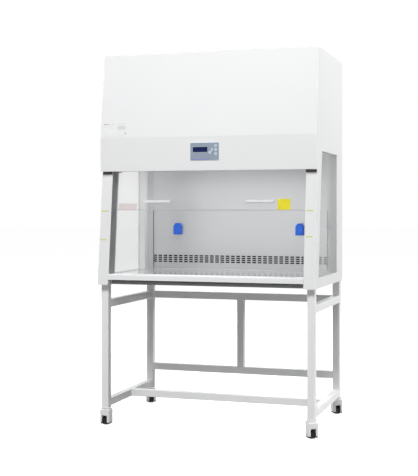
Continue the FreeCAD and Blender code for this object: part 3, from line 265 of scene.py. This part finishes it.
CABINET_WHITE = (0.86, 0.865, 0.87)
# The stand's own white, set brighter than the cabinet's as painted light for the dimmer light on the stand.
STAND_WHITE_WITH_PAINTED_LIGHT = (0.915, 0.918, 0.92)
STEEL = (0.60, 0.61, 0.62)
finishes = {
    "stand_paint": painted("stand_paint", STAND_WHITE_WITH_PAINTED_LIGHT),
    "cabinet_paint": painted("cabinet_paint", CABINET_WHITE),
    "stainless": brushed("stainless", STEEL, metal=0.8),
    "side_glazing": glazing("side_glazing", (0.66, 0.67, 0.67), 0.10, 0.28),
    "sash_glazing": glazing("sash_glazing", (0.95, 0.96, 0.96), 0.015, 0.20),
    # Painted shade: the guide rails' colour is darkened to a dark grey for the shade on their sheltered sides.
    "rail_aluminium": brushed("rail_aluminium", (0.27, 0.27, 0.275), rough=0.4, metal=0.3),
    "handle_plastic": moulded("handle_plastic", (0.84, 0.84, 0.85), 0.35, shine=0.3),
    "belt_rubber": banded("belt_rubber", (0.012, 0.012, 0.012), (0.03, 0.03, 0.03), 60.0, "Z", 0.6),
    "zinc_steel": brushed("zinc_steel", (0.55, 0.56, 0.58), rough=0.25),
    "galvanised": brushed("galvanised", (0.52, 0.54, 0.56), grain=(30, 30, 30), rough=0.4),
    "filter_pack": banded("filter_pack", (0.60, 0.60, 0.56), (0.85, 0.85, 0.80), 60.0, "X", 0.85),
    "lamp_tube": moulded("lamp_tube", (0.88, 0.88, 0.88), 0.25),
    "panel_film": moulded("panel_film", (0.32, 0.375, 0.455), 0.4, 0.02, shine=0.3),
    "display_glass": moulded("display_glass", (0.010, 0.016, 0.075), 0.25, 0.0, shine=0.1),
    "button_plastic": moulded("button_plastic", (0.66, 0.72, 0.80), 0.3),
    "socket_blue": moulded("socket_blue", (0.045, 0.17, 0.78), 0.35, shine=0.3),
    "inlet_plastic": moulded("inlet_plastic", (0.01, 0.01, 0.01), 0.5),
    "caster_body": moulded("caster_body", (0.91, 0.912, 0.915), 0.3),
    "caster_tyre": moulded("caster_tyre", (0.008, 0.008, 0.008), 0.55, shine=0.2),
    "caster_pad": moulded("caster_pad", (0.010, 0.010, 0.010), 0.6, shine=0.2),
}
extras = {
    "label": moulded("plain_label", (0.875, 0.88, 0.885), 0.25, 0.01),
    "print": moulded("faint_print", (0.50, 0.50, 0.51), 0.5, 0.01),
    "faint": moulded("pale_print", (0.72, 0.72, 0.73), 0.5, 0.01),
    "rim": moulded("panel_rim", (0.74, 0.80, 0.88), 0.3, 0.01),
    "pad": moulded("panel_pad", (0.60, 0.67, 0.78), 0.3, 0.02),
    "stripe": moulded("panel_stripe", (0.22, 0.22, 0.62), 0.4, 0.01),
    "cell": moulded("display_cell", (0.014, 0.023, 0.105), 0.3, 0.0, shine=0.08),
    "bezel": moulded("display_bezel", (0.42, 0.47, 0.54), 0.35, 0.01),
    "mark": moulded("level_mark", (0.60, 0.68, 0.05), 0.4, 0.01),
    "yellow": moulded("yellow_patch", (0.84, 0.74, 0.03), 0.35, 0.01),
    "pale": moulded("pale_patch", (0.78, 0.69, 0.69), 0.35, 0.01),
    "seal": moulded("grey_seal", (0.42, 0.42, 0.425), 0.5, 0.1),
    # Painted shade: dark strips in the creases of the back wall's folds.
    "dark": moulded("fold_painted_shade", (0.14, 0.14, 0.145), 0.6, 0.1),
    # Painted shade: near-black pads that make the openings into the duct look dark.
    "foam": moulded("black_painted_shade_foam", (0.012, 0.012, 0.013), 0.9, 0.8, 400.0, shine=0.1),
    "bead": moulded("clear_bead", (0.80, 0.81, 0.81), 0.35, 0.02),
    "joint": moulded("joint_filler", (0.50, 0.51, 0.515), 0.4, 0.05),
    # Lit and shaded copies of one liner: the bright one is painted light, the grey one painted shade.
    "liner": brushed("bright_liner_painted_light", (0.88, 0.885, 0.89), rough=0.3, metal=0.3),
    "reveal": brushed("grey_liner_painted_shade", (0.40, 0.405, 0.41), rough=0.45, metal=0.3),
    # Painted shade: dark grey for the sheltered inner sides of the posts.
    "inner_post_shade": moulded("post_painted_shade", (0.26, 0.26, 0.265), 0.5, 0.05, shine=0.3),
    # Painted shade on the base tray's front: dark under the front ledge and paler at its foot.
    "tray": painted_shade_sheet("tray_painted_shade", 0.758, 0.786, (0.46, 0.465, 0.47), (0.02, 0.02, 0.02)),
    "worktop": brushed("worktop_steel", (0.80, 0.81, 0.82), rough=0.16, metal=0.8),
    # Painted shade: dark rims round the slots in the back wall.
    "slot_painted_shade": moulded("slot_painted_shade", (0.035, 0.035, 0.037), 0.5, 0.05, shine=0.2),
    # Painted shade: a dark grey strip for the shadow that the cover's lip casts on the posts.
    "lip": moulded("lip_painted_shade", (0.16, 0.16, 0.162), 0.7, 0.1, shine=0.2),
    "cap": brushed("lamp_cap", (0.70, 0.70, 0.71), rough=0.3),
    "plug": moulded("axle_plug", (0.70, 0.705, 0.71), 0.35, 0.02),
    "hub": moulded("wheel_hub", (0.05, 0.05, 0.052), 0.5, 0.05, shine=0.2),
}
for name, node in nodes.items():
    node.data.materials.clear()
    node.data.materials.append(finishes[slot_of[name]])
# The base tray takes the painted-shade sheet; the worktop takes its polished steel.
for name, finish in (("base_tray", "tray"), ("worktop", "worktop")):
    nodes[name].data.materials.clear()
    nodes[name].data.materials.append(extras[finish])


# Mesh helpers
def piece(name, built, body, material, smooth=False):
    """Turn a bmesh into a piece that rides on a body and has the given finish."""
    mesh = bpy.data.meshes.new(name)
    bmesh.ops.recalc_face_normals(built, faces=built.faces)
    built.to_mesh(mesh)
    built.free()
    if smooth:
        mesh.shade_smooth()
    item = bpy.data.objects.new(name, mesh)
    bpy.context.scene.collection.objects.link(item)
    mesh.materials.append(material)
    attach(item, body)
    return item


def face_at(origin, across, up):
    """A function that places (a, b, lift) on a flat face; lift stands out along across x up."""
    origin, across, up = Vector(origin), Vector(across), Vector(up)
    out = across.cross(up)
    return lambda a, b, lift=0.0: origin + across * a + up * b + out * lift


def rectangle(left, right, low, high):
    return [(left, low), (right, low), (right, high), (left, high)]


def rounded(left, right, low, high, radius, steps=4):
    """Outline of a rectangle with round corners, counterclockwise."""
    outline = []
    corners = ((right - radius, high - radius, 0), (left + radius, high - radius, 90),
               (left + radius, low + radius, 180), (right - radius, low + radius, 270))
    for a, b, start in corners:
        for step in range(steps + 1):
            turn = math.radians(start + 90 * step / steps)
            outline.append((a + radius * math.cos(turn), b + radius * math.sin(turn)))
    return outline


def ring_outline(a, b, radius, steps=24):
    turns = [2 * math.pi * i / steps for i in range(steps)]
    return [(a + radius * math.cos(turn), b + radius * math.sin(turn)) for turn in turns]


def inset(outline, amount):
    """A counterclockwise outline moved inwards by an amount, with mitred corners."""
    moved = []
    spots = [Vector(spot) for spot in outline]
    for i, here in enumerate(spots):
        before, after = spots[i - 1], spots[(i + 1) % len(spots)]
        first, second = (here - before).normalized(), (after - here).normalized()
        normal = Vector((-first.y - second.y, first.x + second.x)).normalized()
        moved.append(tuple(here + normal * (amount / max(normal.dot(Vector((-first.y, first.x))), 0.2))))
    return moved


def link_rings(built, rings, closed=False):
    """Quads between rings of the same length."""
    pairs = list(zip(rings, rings[1:]))
    if closed:
        pairs.append((rings[-1], rings[0]))
    for low, high in pairs:
        for i in range(len(low)):
            j = (i + 1) % len(low)
            built.faces.new((low[i], low[j], high[j], high[i]))


def slab(built, outline, place, low, high, edge=0.0002):
    """A closed plate on a face, from one lift to another, with a small bevel."""
    rings = []
    for lift, margin in ((low, 0), (high - edge, 0), (high, edge)):
        rings.append([built.verts.new(place(a, b, lift)) for a, b in inset(outline, margin)])
    link_rings(built, rings)
    built.faces.new(rings[0])
    built.faces.new(rings[-1])


def trim(built, outline, place, section):
    """A closed frame round an outline; section is a loop of (inset, lift) points."""
    rings = []
    for margin, lift in section:
        rings.append([built.verts.new(place(a, b, lift)) for a, b in inset(outline, margin)])
    link_rings(built, rings, closed=True)


def turned(built, centre, out, profile, steps=16, squeeze=None):
    """A solid of revolution; profile holds (radius, height) points along out."""
    out = Vector(out).normalized()
    side = out.orthogonal().normalized()
    other = out.cross(side)
    rings = []
    for radius, height in profile:
        ring = []
        for i in range(steps):
            turn = 2 * math.pi * i / steps
            reach = radius * (squeeze(i) if squeeze else 1)
            ring.append(built.verts.new(Vector(centre) + out * height
                                        + (side * math.cos(turn) + other * math.sin(turn)) * reach))
        rings.append(ring)
    link_rings(built, rings)
    built.faces.new(rings[0])
    built.faces.new(rings[-1])


def bar(built, start, end, sections):
    """A closed bar from start to end; sections give offset vectors round it."""
    rings = [[built.verts.new(Vector(spot) + offset) for offset in sections] for spot in (start, end)]
    link_rings(built, rings)
    for ring in rings:
        built.faces.new(ring)


def fillet_bead(built, start, end, first, second, size, wave=0.0, steps=1):
    """A bead in the corner between two faces whose outward directions are first and second."""
    start, end = Vector(start), Vector(end)
    first, second = Vector(first) * size, Vector(second) * size
    rings = []
    for step in range(steps + 1):
        swell = 1 + wave * math.sin(step * 2.1)
        offsets = (Vector(), first * swell, (first + second) * 0.42 * swell, second * swell)
        spot = start.lerp(end, step / steps)
        rings.append([built.verts.new(spot + offset) for offset in offsets])
    link_rings(built, rings)
    built.faces.new(rings[0])
    built.faces.new(rings[-1])


def screw(built, centre, out, radius):
    """A pan head with a round socket in it."""
    turned(built, centre, out, [(radius, 0), (radius, radius * 0.22), (radius * 0.72, radius * 0.46),
                                (radius * 0.42, radius * 0.5), (radius * 0.36, radius * 0.15)], 14)


post_face = face_at((0, FOOT_Y, FOOT_Z), X, LEAN)
pane_face = face_at(Vector((0, FOOT_Y, FOOT_Z)) + DEEP * PANE_FRONT, X, LEAN)
cover_face = face_at((0, COVER_LOW.y, 0), X, Z)
upper_face = face_at((0, COVER_LOW.y, CREASE_Z), X, (0, math.sin(COVER_LEAN), math.cos(COVER_LEAN)))
panel_face = face_at((0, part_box("control_panel")[0].y, 0), X, Z)
rear_face = face_at((0, REAR_Y, 0), -X, Z)


def along_post(z):
    """Distance up the leaning posts at a height."""
    return (z - FOOT_Z) / LEAN.z


# Bare plate on the cover, where the photograph shows a faded label
def bare_plate():
    built = bmesh.new()
    slab(built, rounded(-0.577, -0.443, 0.008, 0.081, 0.003), upper_face, 0, 0.0005)
    piece("bare_plate", built, "cabinet", extras["label"])
    built = bmesh.new()
    slab(built, rectangle(-0.575, -0.544, 0.0745, 0.0785), upper_face, 0.0004, 0.0007, 0.0001)
    slab(built, ring_outline(-0.4475, 0.0245, 0.0045), upper_face, 0.0004, 0.0007, 0.0001)
    piece("bare_plate_print", built, "cabinet", extras["print"])
    built = bmesh.new()
    slab(built, rectangle(-0.527, -0.452, 0.0765, 0.0785), upper_face, 0.0004, 0.0007, 0.0001)
    slab(built, rounded(-0.497, -0.449, 0.046, 0.065, 0.006), upper_face, 0.0004, 0.0007, 0.0001)
    piece("bare_plate_print_pale", built, "cabinet", extras["faint"])


# Control panel: rim, display frame and cells, pads and stripe
def panel_dressing():
    low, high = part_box("control_panel")
    outline = rounded(low.x, high.x, low.z, high.z, 0.004)
    built = bmesh.new()
    trim(built, outline, cover_face,
         [(0, 0), (-0.0022, 0), (-0.0022, 0.001), (-0.0012, 0.0034), (0, 0.0038)])
    piece("panel_rim", built, "cabinet", extras["rim"])

    low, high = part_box("display")
    built = bmesh.new()
    trim(built, rounded(low.x, high.x, low.z, high.z, 0.001), panel_face,
         [(0.0004, 0), (-0.0016, 0), (-0.0016, 0.0003), (-0.001, 0.0006), (0.0002, 0.0006)])
    piece("display_frame", built, "cabinet", extras["bezel"])

    built = bmesh.new()
    columns, rows = 16, 2
    step_a, step_b = (high.x - low.x - 0.010) / columns, 0.0095
    for row in range(rows):
        for column in range(columns):
            a = low.x + 0.005 + (column + 0.1) * step_a
            b = low.z + 0.0048 + row * step_b
            slab(built, rectangle(a, a + 0.8 * step_a, b, b + 0.0078), panel_face,
                 -0.0002, 0.0001, 0.00005)
    piece("display_cells", built, "cabinet", extras["cell"])

    built = bmesh.new()
    slab(built, rounded(0.0215, 0.0365, 1.4495, 1.4645, 0.0065), panel_face, -0.0002, 0.0006)
    slant = [(0.0315, 1.4585), (0.0365, 1.4550), (0.0470, 1.4785), (0.0400, 1.4815)]
    slab(built, slant, panel_face, -0.0002, 0.0005)
    piece("panel_pads", built, "cabinet", extras["pad"])

    built = bmesh.new()
    for name in ("button_low", "button_middle", "button_high"):
        low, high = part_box(name)
        centre = (low + high) / 2
        trim(built, ring_outline(centre.x, centre.z, 0.0064), panel_face,
             [(0, -0.0002), (-0.0018, -0.0002), (-0.0016, 0.0005), (-0.0003, 0.0005)])
    piece("button_rings", built, "cabinet", extras["pad"])

    built = bmesh.new()
    slab(built, rectangle(-0.0740, 0.0260, 1.4205, 1.4240), panel_face, -0.0002, 0.0003, 0.0001)
    piece("panel_stripe", built, "cabinet", extras["stripe"])


# Coloured level marks on the posts
def post_marks():
    built = bmesh.new()
    for left, right, z in ((-0.588, -0.546, 1.151), (-0.588, -0.551, 0.997),
                           (0.541, 0.574, 1.1535), (0.541, 0.574, 1.022)):
        middle = along_post(z)
        slab(built, rectangle(left, right, middle - 0.0024, middle + 0.0024), post_face,
             0, 0.0003, 0.0001)
    piece("post_marks", built, "cabinet", extras["mark"])


# Sash: edge strip along the foot of the pane, and two plain patches
def sash_dressing():
    foot_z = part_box("sash_glass")[0].z
    foot = (foot_z - FOOT_Z + (PANE_FRONT + PANE_THICK) * LEAN.y) / LEAN.z
    start = pane_face(-0.529, foot)
    end = pane_face(0.529, foot)
    out = -DEEP
    profile = [(0.0007, 0.0003), (0.0007, 0.0018), (0.0002, 0.0026), (-0.0052, 0.0026),
               (-0.0057, 0.0018), (-0.0057, 0.0003)]
    built = bmesh.new()
    bar(built, start, end, [out * lift + LEAN * rise for lift, rise in profile])
    piece("sash_edge", built, "sash", extras["seal"])

    built = bmesh.new()
    slab(built, rounded(0.373, 0.441, along_post(1.165), along_post(1.222), 0.005), pane_face,
         0, 0.0003)
    piece("sash_patch_yellow", built, "sash", extras["yellow"])
    built = bmesh.new()
    slab(built, rounded(-0.517, -0.411, along_post(1.164), along_post(1.1985), 0.003), pane_face,
         0, 0.0003)
    piece("sash_patch_pale", built, "sash", extras["pale"])


# Screws: on the flanges of the front cover and round the rear cover
def cover_screws():
    built = bmesh.new()
    for sign in (-1, 1):
        for z in (1.392, 1.490, 1.610, 1.760, 1.910):
            y = COVER_LOW.y + max(0, z - CREASE_Z) * math.tan(COVER_LEAN) + 0.0085
            screw(built, (sign * HALF_X, y, z), X * sign, 0.0026)
    piece("cover_screws", built, "cabinet", finishes["zinc_steel"])
    built = bmesh.new()
    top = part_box("rear_cover")[1].z
    edge, margin, radius = 0.575, 0.017, 0.0045
    for step in range(-5, 6, 2):
        for z in (FOOT_Z + margin, top - margin):
            screw(built, rear_face(edge * step / 5, z), Y, radius)
    for a in (-edge, edge):
        for step in range(1, 5):
            z = FOOT_Z + margin + (top - FOOT_Z - 2 * margin) * step / 5
            screw(built, rear_face(a, z), Y, radius)
    piece("rear_screws", built, "cabinet", finishes["zinc_steel"])


# Mains inlet's frame and its screws
def rear_dressing():
    low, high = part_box("power_inlet")
    built = bmesh.new()
    outline = rounded(-high.x, -low.x, low.z, high.z, 0.002)
    trim(built, outline, rear_face,
         [(0.0006, 0), (-0.011, 0), (-0.011, 0.0012), (-0.010, 0.002), (0.0006, 0.002)])
    piece("inlet_frame", built, "cabinet", finishes["inlet_plastic"])
    built = bmesh.new()
    for a in (-high.x - 0.0055, -low.x + 0.0055):
        screw(built, rear_face(a, (low.z + high.z) / 2, 0.002), Y, 0.003)
    piece("inlet_screws", built, "cabinet", finishes["zinc_steel"])


# Glazing beads round the side panes, on the outside
def window_beads():
    for side, sign in (("left", -1), ("right", 1)):
        low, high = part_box("side_glass_" + side)
        top_front = low.y + math.tan(WINDOW_LEAN) * (high.z - low.z)
        outline = [(low.y, low.z), (high.y, low.z), (high.y, high.z), (top_front, high.z)]
        across = Y if sign > 0 else -Y
        outer = face_at((sign * HALF_X, 0, 0), across, Z)
        if sign < 0:
            outline = [(-y, z) for y, z in reversed(outline)]
        built = bmesh.new()
        trim(built, outline, outer,
             [(-0.0024, 0), (-0.0016, 0.0007), (0.0012, 0.0007), (0.0026, -0.0004),
              (0.0026, -0.0006), (-0.0002, -0.0006)])
        piece("window_bead_" + side, built, "cabinet", extras["bead"])


# Liners in the reveals of the windows, between the pane and the inner skin; the left one is a bright copy as
# painted light, the right one a grey copy as painted shade
def window_liners():
    for side, sign in (("left", -1), ("right", 1)):
        low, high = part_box("side_glass_" + side)
        rear_top = low.y + math.tan(WINDOW_LEAN) * (high.z - low.z)
        corners = [(low.y, low.z), (high.y, low.z), (high.y, high.z), (rear_top, high.z)]
        inner, outer = HALF_X - 0.0388, HALF_X - 0.0058
        place = face_at((0, 0, 0), Y, Z)
        built = bmesh.new()
        trim(built, corners, place,
             [(0.0002, sign * inner), (0.0010, sign * inner), (0.0010, sign * outer),
              (0.0002, sign * outer)])
        finish = extras["liner" if sign < 0 else "reveal"]
        piece("window_liner_" + side, built, "cabinet", finish)


# Dark grey sheets on the inner sides of the posts, and dark strips under the cover's lip: both painted shade
def post_liners():
    ledge_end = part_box("front_ledge")[1]
    between = ledge_end.x + 0.0003
    start, end = along_post(ledge_end.z + 0.003), along_post(LIP_Z + 0.10)
    origin = Vector((0, FOOT_Y, FOOT_Z))
    built = bmesh.new()
    for sign in (-1, 1):
        place = face_at(origin + X * sign * between, DEEP, LEAN)
        low, high = (0.0, 0.0005) if sign < 0 else (-0.0005, 0.0)
        slab(built, rounded(0.0045, 0.0595, start, end, 0.001), place, low, high, 0.0001)
    piece("post_painted_shade_sheets", built, "cabinet", extras["inner_post_shade"])
    built = bmesh.new()
    top = along_post(LIP_Z) - 0.0006
    near, far = between + 0.001, HALF_X - 0.004
    for left, right in ((-far, -near), (near, far)):
        slab(built, rounded(left, right, top - 0.015, top, 0.001), post_face, 0, 0.0025, 0.0006)
    piece("lip_painted_shade_strips", built, "cabinet", extras["lip"])


# Painted shade: black pads behind the slots and under the worktop's front edge and dark rims round the slots, for
# the dark duct behind; and dark strips in the creases of the wall's folds
def painted_shade_screens():
    wall_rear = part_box("back_wall")[1].y
    back_face = wall_rear - 0.0015
    built = bmesh.new()
    place = face_at((0, wall_rear + 0.004, 0), X, Z)
    slab(built, rounded(-0.520, 0.520, WORKTOP_Z + 0.028, WORKTOP_Z + 0.094, 0.004), place, 0, 0.0035)
    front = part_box("worktop")[0]
    place = face_at((0, 0, front.z - 0.0065), X, Y)
    slab(built, rounded(-0.545, 0.545, front.y + 0.002, front.y + 0.018, 0.003), place, 0, 0.006)
    piece("painted_shade_screens", built, "cabinet", extras["foam"])
    built = bmesh.new()
    place = face_at((0, back_face, 0), X, Z)
    for column in range(SLOT_COLUMNS):
        for row in range(SLOT_ROWS):
            a = (column - SLOT_COLUMNS // 2) * SLOT_PITCH
            b = SLOT_LOWEST + row * SLOT_RISE
            outline = rectangle(a - SLOT_HALF_LENGTH, a + SLOT_HALF_LENGTH,
                                b - SLOT_HALF_HEIGHT, b + SLOT_HALF_HEIGHT)
            trim(built, outline, place, [(0, 0), (-0.0013, 0), (-0.0013, 0.0003), (0, 0.0003)])
    piece("slot_painted_shade_rims", built, "cabinet", extras["slot_painted_shade"])
    built = bmesh.new()
    for sign in (-1, 1):
        spot = Vector((sign * (FOLD_X - 0.0015), back_face, 0))
        offsets = [X * 0.0017, -X * 0.0017, -X * 0.0012 - Y * 0.0016, X * 0.0012 - Y * 0.0016]
        bar(built, spot + Z * (WORKTOP_Z + 0.006), spot + Z * (WORKTOP_Z + 0.345), offsets)
    piece("fold_painted_shade_strips", built, "cabinet", extras["dark"])


# Joint filler where the worktop meets the back wall and the side walls
def worktop_joints():
    low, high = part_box("worktop")
    built = bmesh.new()
    wing_y = high.y - 0.0247
    level = WORKTOP_Z
    fillet_bead(built, (-FOLD_X, high.y, level), (FOLD_X, high.y, level), -Y, Z, 0.0035, 0.05, 60)
    for sign in (-1, 1):
        fillet_bead(built, (sign * high.x, low.y + 0.001, level), (sign * high.x, wing_y, level),
                    -X * sign, Z, 0.0030, 0.05, 40)
        wing = Vector((sign * (high.x - FOLD_X), wing_y - high.y, 0)).normalized()
        normal = Vector((wing.y * sign, -wing.x * sign, 0))
        fillet_bead(built, (sign * FOLD_X, high.y, level), (sign * high.x, wing_y, level), normal, Z,
                    0.0030, 0.05, 8)
    piece("worktop_joints", built, "cabinet", extras["joint"])


# Welds where the tubes of the stand meet
def stand_welds():
    built = bmesh.new()
    half = 0.0165

    def pair(centre, out, across, sides):
        """Two beads beside a butted tube end: out runs along the tube, away from the joint."""
        centre, out, across, sides = Vector(centre), Vector(out), Vector(across), Vector(sides)
        for way in (-1, 1):
            spot = centre + sides * way * 0.020
            fillet_bead(built, spot - across * half, spot + across * half, out, sides * way, 0.0022, 0.12, 9)

    for side in ("left", "right"):
        front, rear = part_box("leg_front_" + side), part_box("leg_rear_" + side)
        for rail in ("upper_side_rail_", "lower_side_rail_"):
            low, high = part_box(rail + side)
            x, z = (low.x + high.x) / 2, (low.z + high.z) / 2
            pair((x, front[1].y, z), Y, X, Z)
            pair((x, rear[0].y, z), -Y, X, Z)
    for rail in ("rear_rail_upper", "rear_rail_lower"):
        low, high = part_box(rail)
        y, z = (low.y + high.y) / 2, (low.z + high.z) / 2
        pair((low.x, y, z), X, Y, Z)
        pair((high.x, y, z), -X, Y, Z)
    low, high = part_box("cross_rail")
    y, z = (low.y + high.y) / 2, (low.z + high.z) / 2
    pair((low.x, y, z), X, Z, Y)
    pair((high.x, y, z), -X, Z, Y)
    low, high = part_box("rear_strut")
    x, y = (low.x + high.x) / 2, (low.y + high.y) / 2
    pair((x, y, low.z), Z, Y, X)
    pair((x, y, high.z), -Z, Y, X)
    piece("stand_welds", built, "cabinet", finishes["stand_paint"], smooth=True)


# Metal caps on the ends of the lamp tubes
def lamp_caps():
    low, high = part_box("lamps")
    built = bmesh.new()
    work_y, ultraviolet_y = low.y + 1.2 * 0.013, high.y - 1.2 * 0.008
    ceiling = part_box("ceiling_diffuser")[0].z
    for y, z, half, radius in ((work_y, ceiling - 0.026, 0.450, 0.0132),
                               (ultraviolet_y, ceiling - 0.032, 0.300, 0.0082)):
        for sign in (-1, 1):
            turned(built, (sign * half, y, z), -X * sign,
                   [(radius, 0), (radius + 0.0003, 0.002), (radius + 0.0003, 0.020),
                    (radius, 0.022)], 24)
    piece("lamp_caps", built, "cabinet", extras["cap"])


# Casters: plugs over the axle ends, hubs on the wheels and a knurl on each thumb wheel
def caster_dressing():
    for corner in ("front_left", "front_right", "rear_left", "rear_right"):
        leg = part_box("leg_" + corner)
        x, y = (leg[0].x + leg[1].x) / 2, (leg[0].y + leg[1].y) / 2
        turn = 0 if corner == "front_left" else CASTER_TURN
        spin = Matrix.Translation((x, y, 0)) @ Matrix.Rotation(turn, 4, "Z")
        axle = spin.to_3x3() @ X
        built = bmesh.new()
        for sign in (-1, 1):
            centre = spin @ Vector((sign * 0.028, AXLE_BEHIND, AXLE_Z))
            turned(built, centre, axle * sign,
                   [(0.0062, -0.0005), (0.0062, 0.0004), (0.0050, 0.0011), (0.0010, 0.0014)], 20)
        piece("axle_plugs_" + corner, built, "caster_" + corner, extras["plug"])
        built = bmesh.new()
        for sign in (-1, 1):
            centre = spin @ Vector((sign * 0.0125, AXLE_BEHIND, AXLE_Z))
            turned(built, centre, axle * sign,
                   [(0.0165, -0.0004), (0.0165, 0.0003), (0.0150, 0.0008), (0.0105, 0.0002),
                    (0.0095, 0.0009), (0.0062, 0.0009)], 28)
        piece("wheel_hubs_" + corner, built, "wheel_" + corner, extras["hub"])
        built = bmesh.new()
        centre = spin @ Vector((0, 0.0225, 0.0142))
        turned(built, centre, Z, [(0.0079, 0), (0.0083, 0.0006), (0.0083, 0.0050), (0.0079, 0.0056)], 48,
               lambda i: 1.0 if i % 2 else 0.975)
        piece("thumb_wheel_" + corner, built, "foot_" + corner, finishes["caster_pad"])


bare_plate()
panel_dressing()
post_marks()
sash_dressing()
cover_screws()
rear_dressing()
window_beads()
window_liners()
post_liners()
painted_shade_screens()
worktop_joints()
stand_welds()
lamp_caps()
caster_dressing()


# Stage
def ray_switch(tree):
    """One for camera, transmission and glossy rays, and zero for all others."""
    path = tree.nodes.new("ShaderNodeLightPath")
    first = add(tree, "ShaderNodeMath", operation="MAXIMUM")
    tree.links.new(path.outputs["Is Camera Ray"], first.inputs[0])
    tree.links.new(path.outputs["Is Transmission Ray"], first.inputs[1])
    second = add(tree, "ShaderNodeMath", operation="MAXIMUM")
    tree.links.new(first.outputs[0], second.inputs[0])
    tree.links.new(path.outputs["Is Glossy Ray"], second.inputs[1])
    return second.outputs[0]


def stage():
    """White floor and world for the camera, with a dimmer floor for bounced light."""
    built = bmesh.new()
    bmesh.ops.create_grid(built, x_segments=1, y_segments=1, size=60)
    mesh = bpy.data.meshes.new("floor")
    built.to_mesh(mesh)
    built.free()
    floor = bpy.data.objects.new("floor", mesh)
    floor.location = (0, 0, -0.0005)
    bpy.context.scene.collection.objects.link(floor)
    material = bpy.data.materials.new("floor_white")
    material.use_nodes = True
    tree = material.node_tree
    tree.nodes.clear()
    white = add(tree, "ShaderNodeBsdfDiffuse", Color=(0.86, 0.86, 0.86, 1))
    glow = add(tree, "ShaderNodeEmission", Color=(1, 1, 1, 1), Strength=FLOOR_GLOW)
    both = tree.nodes.new("ShaderNodeAddShader")
    tree.links.new(white.outputs[0], both.inputs[0])
    tree.links.new(glow.outputs[0], both.inputs[1])
    dim = add(tree, "ShaderNodeBsdfDiffuse", Color=(FLOOR_BOUNCE, FLOOR_BOUNCE, FLOOR_BOUNCE, 1))
    mix = tree.nodes.new("ShaderNodeMixShader")
    tree.links.new(ray_switch(tree), mix.inputs[0])
    tree.links.new(dim.outputs[0], mix.inputs[1])
    tree.links.new(both.outputs[0], mix.inputs[2])
    output = tree.nodes.new("ShaderNodeOutputMaterial")
    tree.links.new(mix.outputs[0], output.inputs["Surface"])
    mesh.materials.append(material)

    world = bpy.data.worlds.new("world")
    bpy.context.scene.world = world
    world.use_nodes = True
    tree = world.node_tree
    background = tree.nodes["Background"]
    strength = add(tree, "ShaderNodeMapRange")
    strength.inputs["To Min"].default_value = WORLD_FILL
    strength.inputs["To Max"].default_value = 1.0
    tree.links.new(ray_switch(tree), strength.inputs["Value"])
    tree.links.new(strength.outputs["Result"], background.inputs["Strength"])
    background.inputs["Color"].default_value = (1, 1, 1, 1)


def soft_light(name, place, aim, size, power):
    """A large area lamp at a place, aimed at a point, that neither camera nor mirror sees."""
    data = bpy.data.lights.new(name, "AREA")
    data.shape = "RECTANGLE"
    data.size, data.size_y = size
    data.energy = power
    lamp = bpy.data.objects.new(name, data)
    lamp.location = place
    lamp.rotation_euler = (Vector(aim) - Vector(place)).to_track_quat("-Z", "Y").to_euler()
    bpy.context.scene.collection.objects.link(lamp)
    lamp.visible_camera = False
    lamp.visible_glossy = False


stage()
soft_light("front", (0.2, -4.5, 4.9), (0, 0, 1.0), (3.4, 2.0), 276)
soft_light("low", (0.3, -4.6, 0.3), (0, 0, 0.5), (2.6, 0.4), 27)
soft_light("side", (5.0, 0.8, 4.4), (0, 0, 1.1), (2.5, 2.0), 262)
soft_light("left", (-5.0, 1.0, 3.6), (0, 0, 1.1), (2.5, 2.0), 105)
soft_light("back", (-1.0, 5.6, 3.4), (0, 0, 1.1), (3.0, 2.0), 145)
soft_light("chamber", (0.0, -0.02, 1.44), (0, 0.15, 0.8), (0.9, 0.10), 3.5)
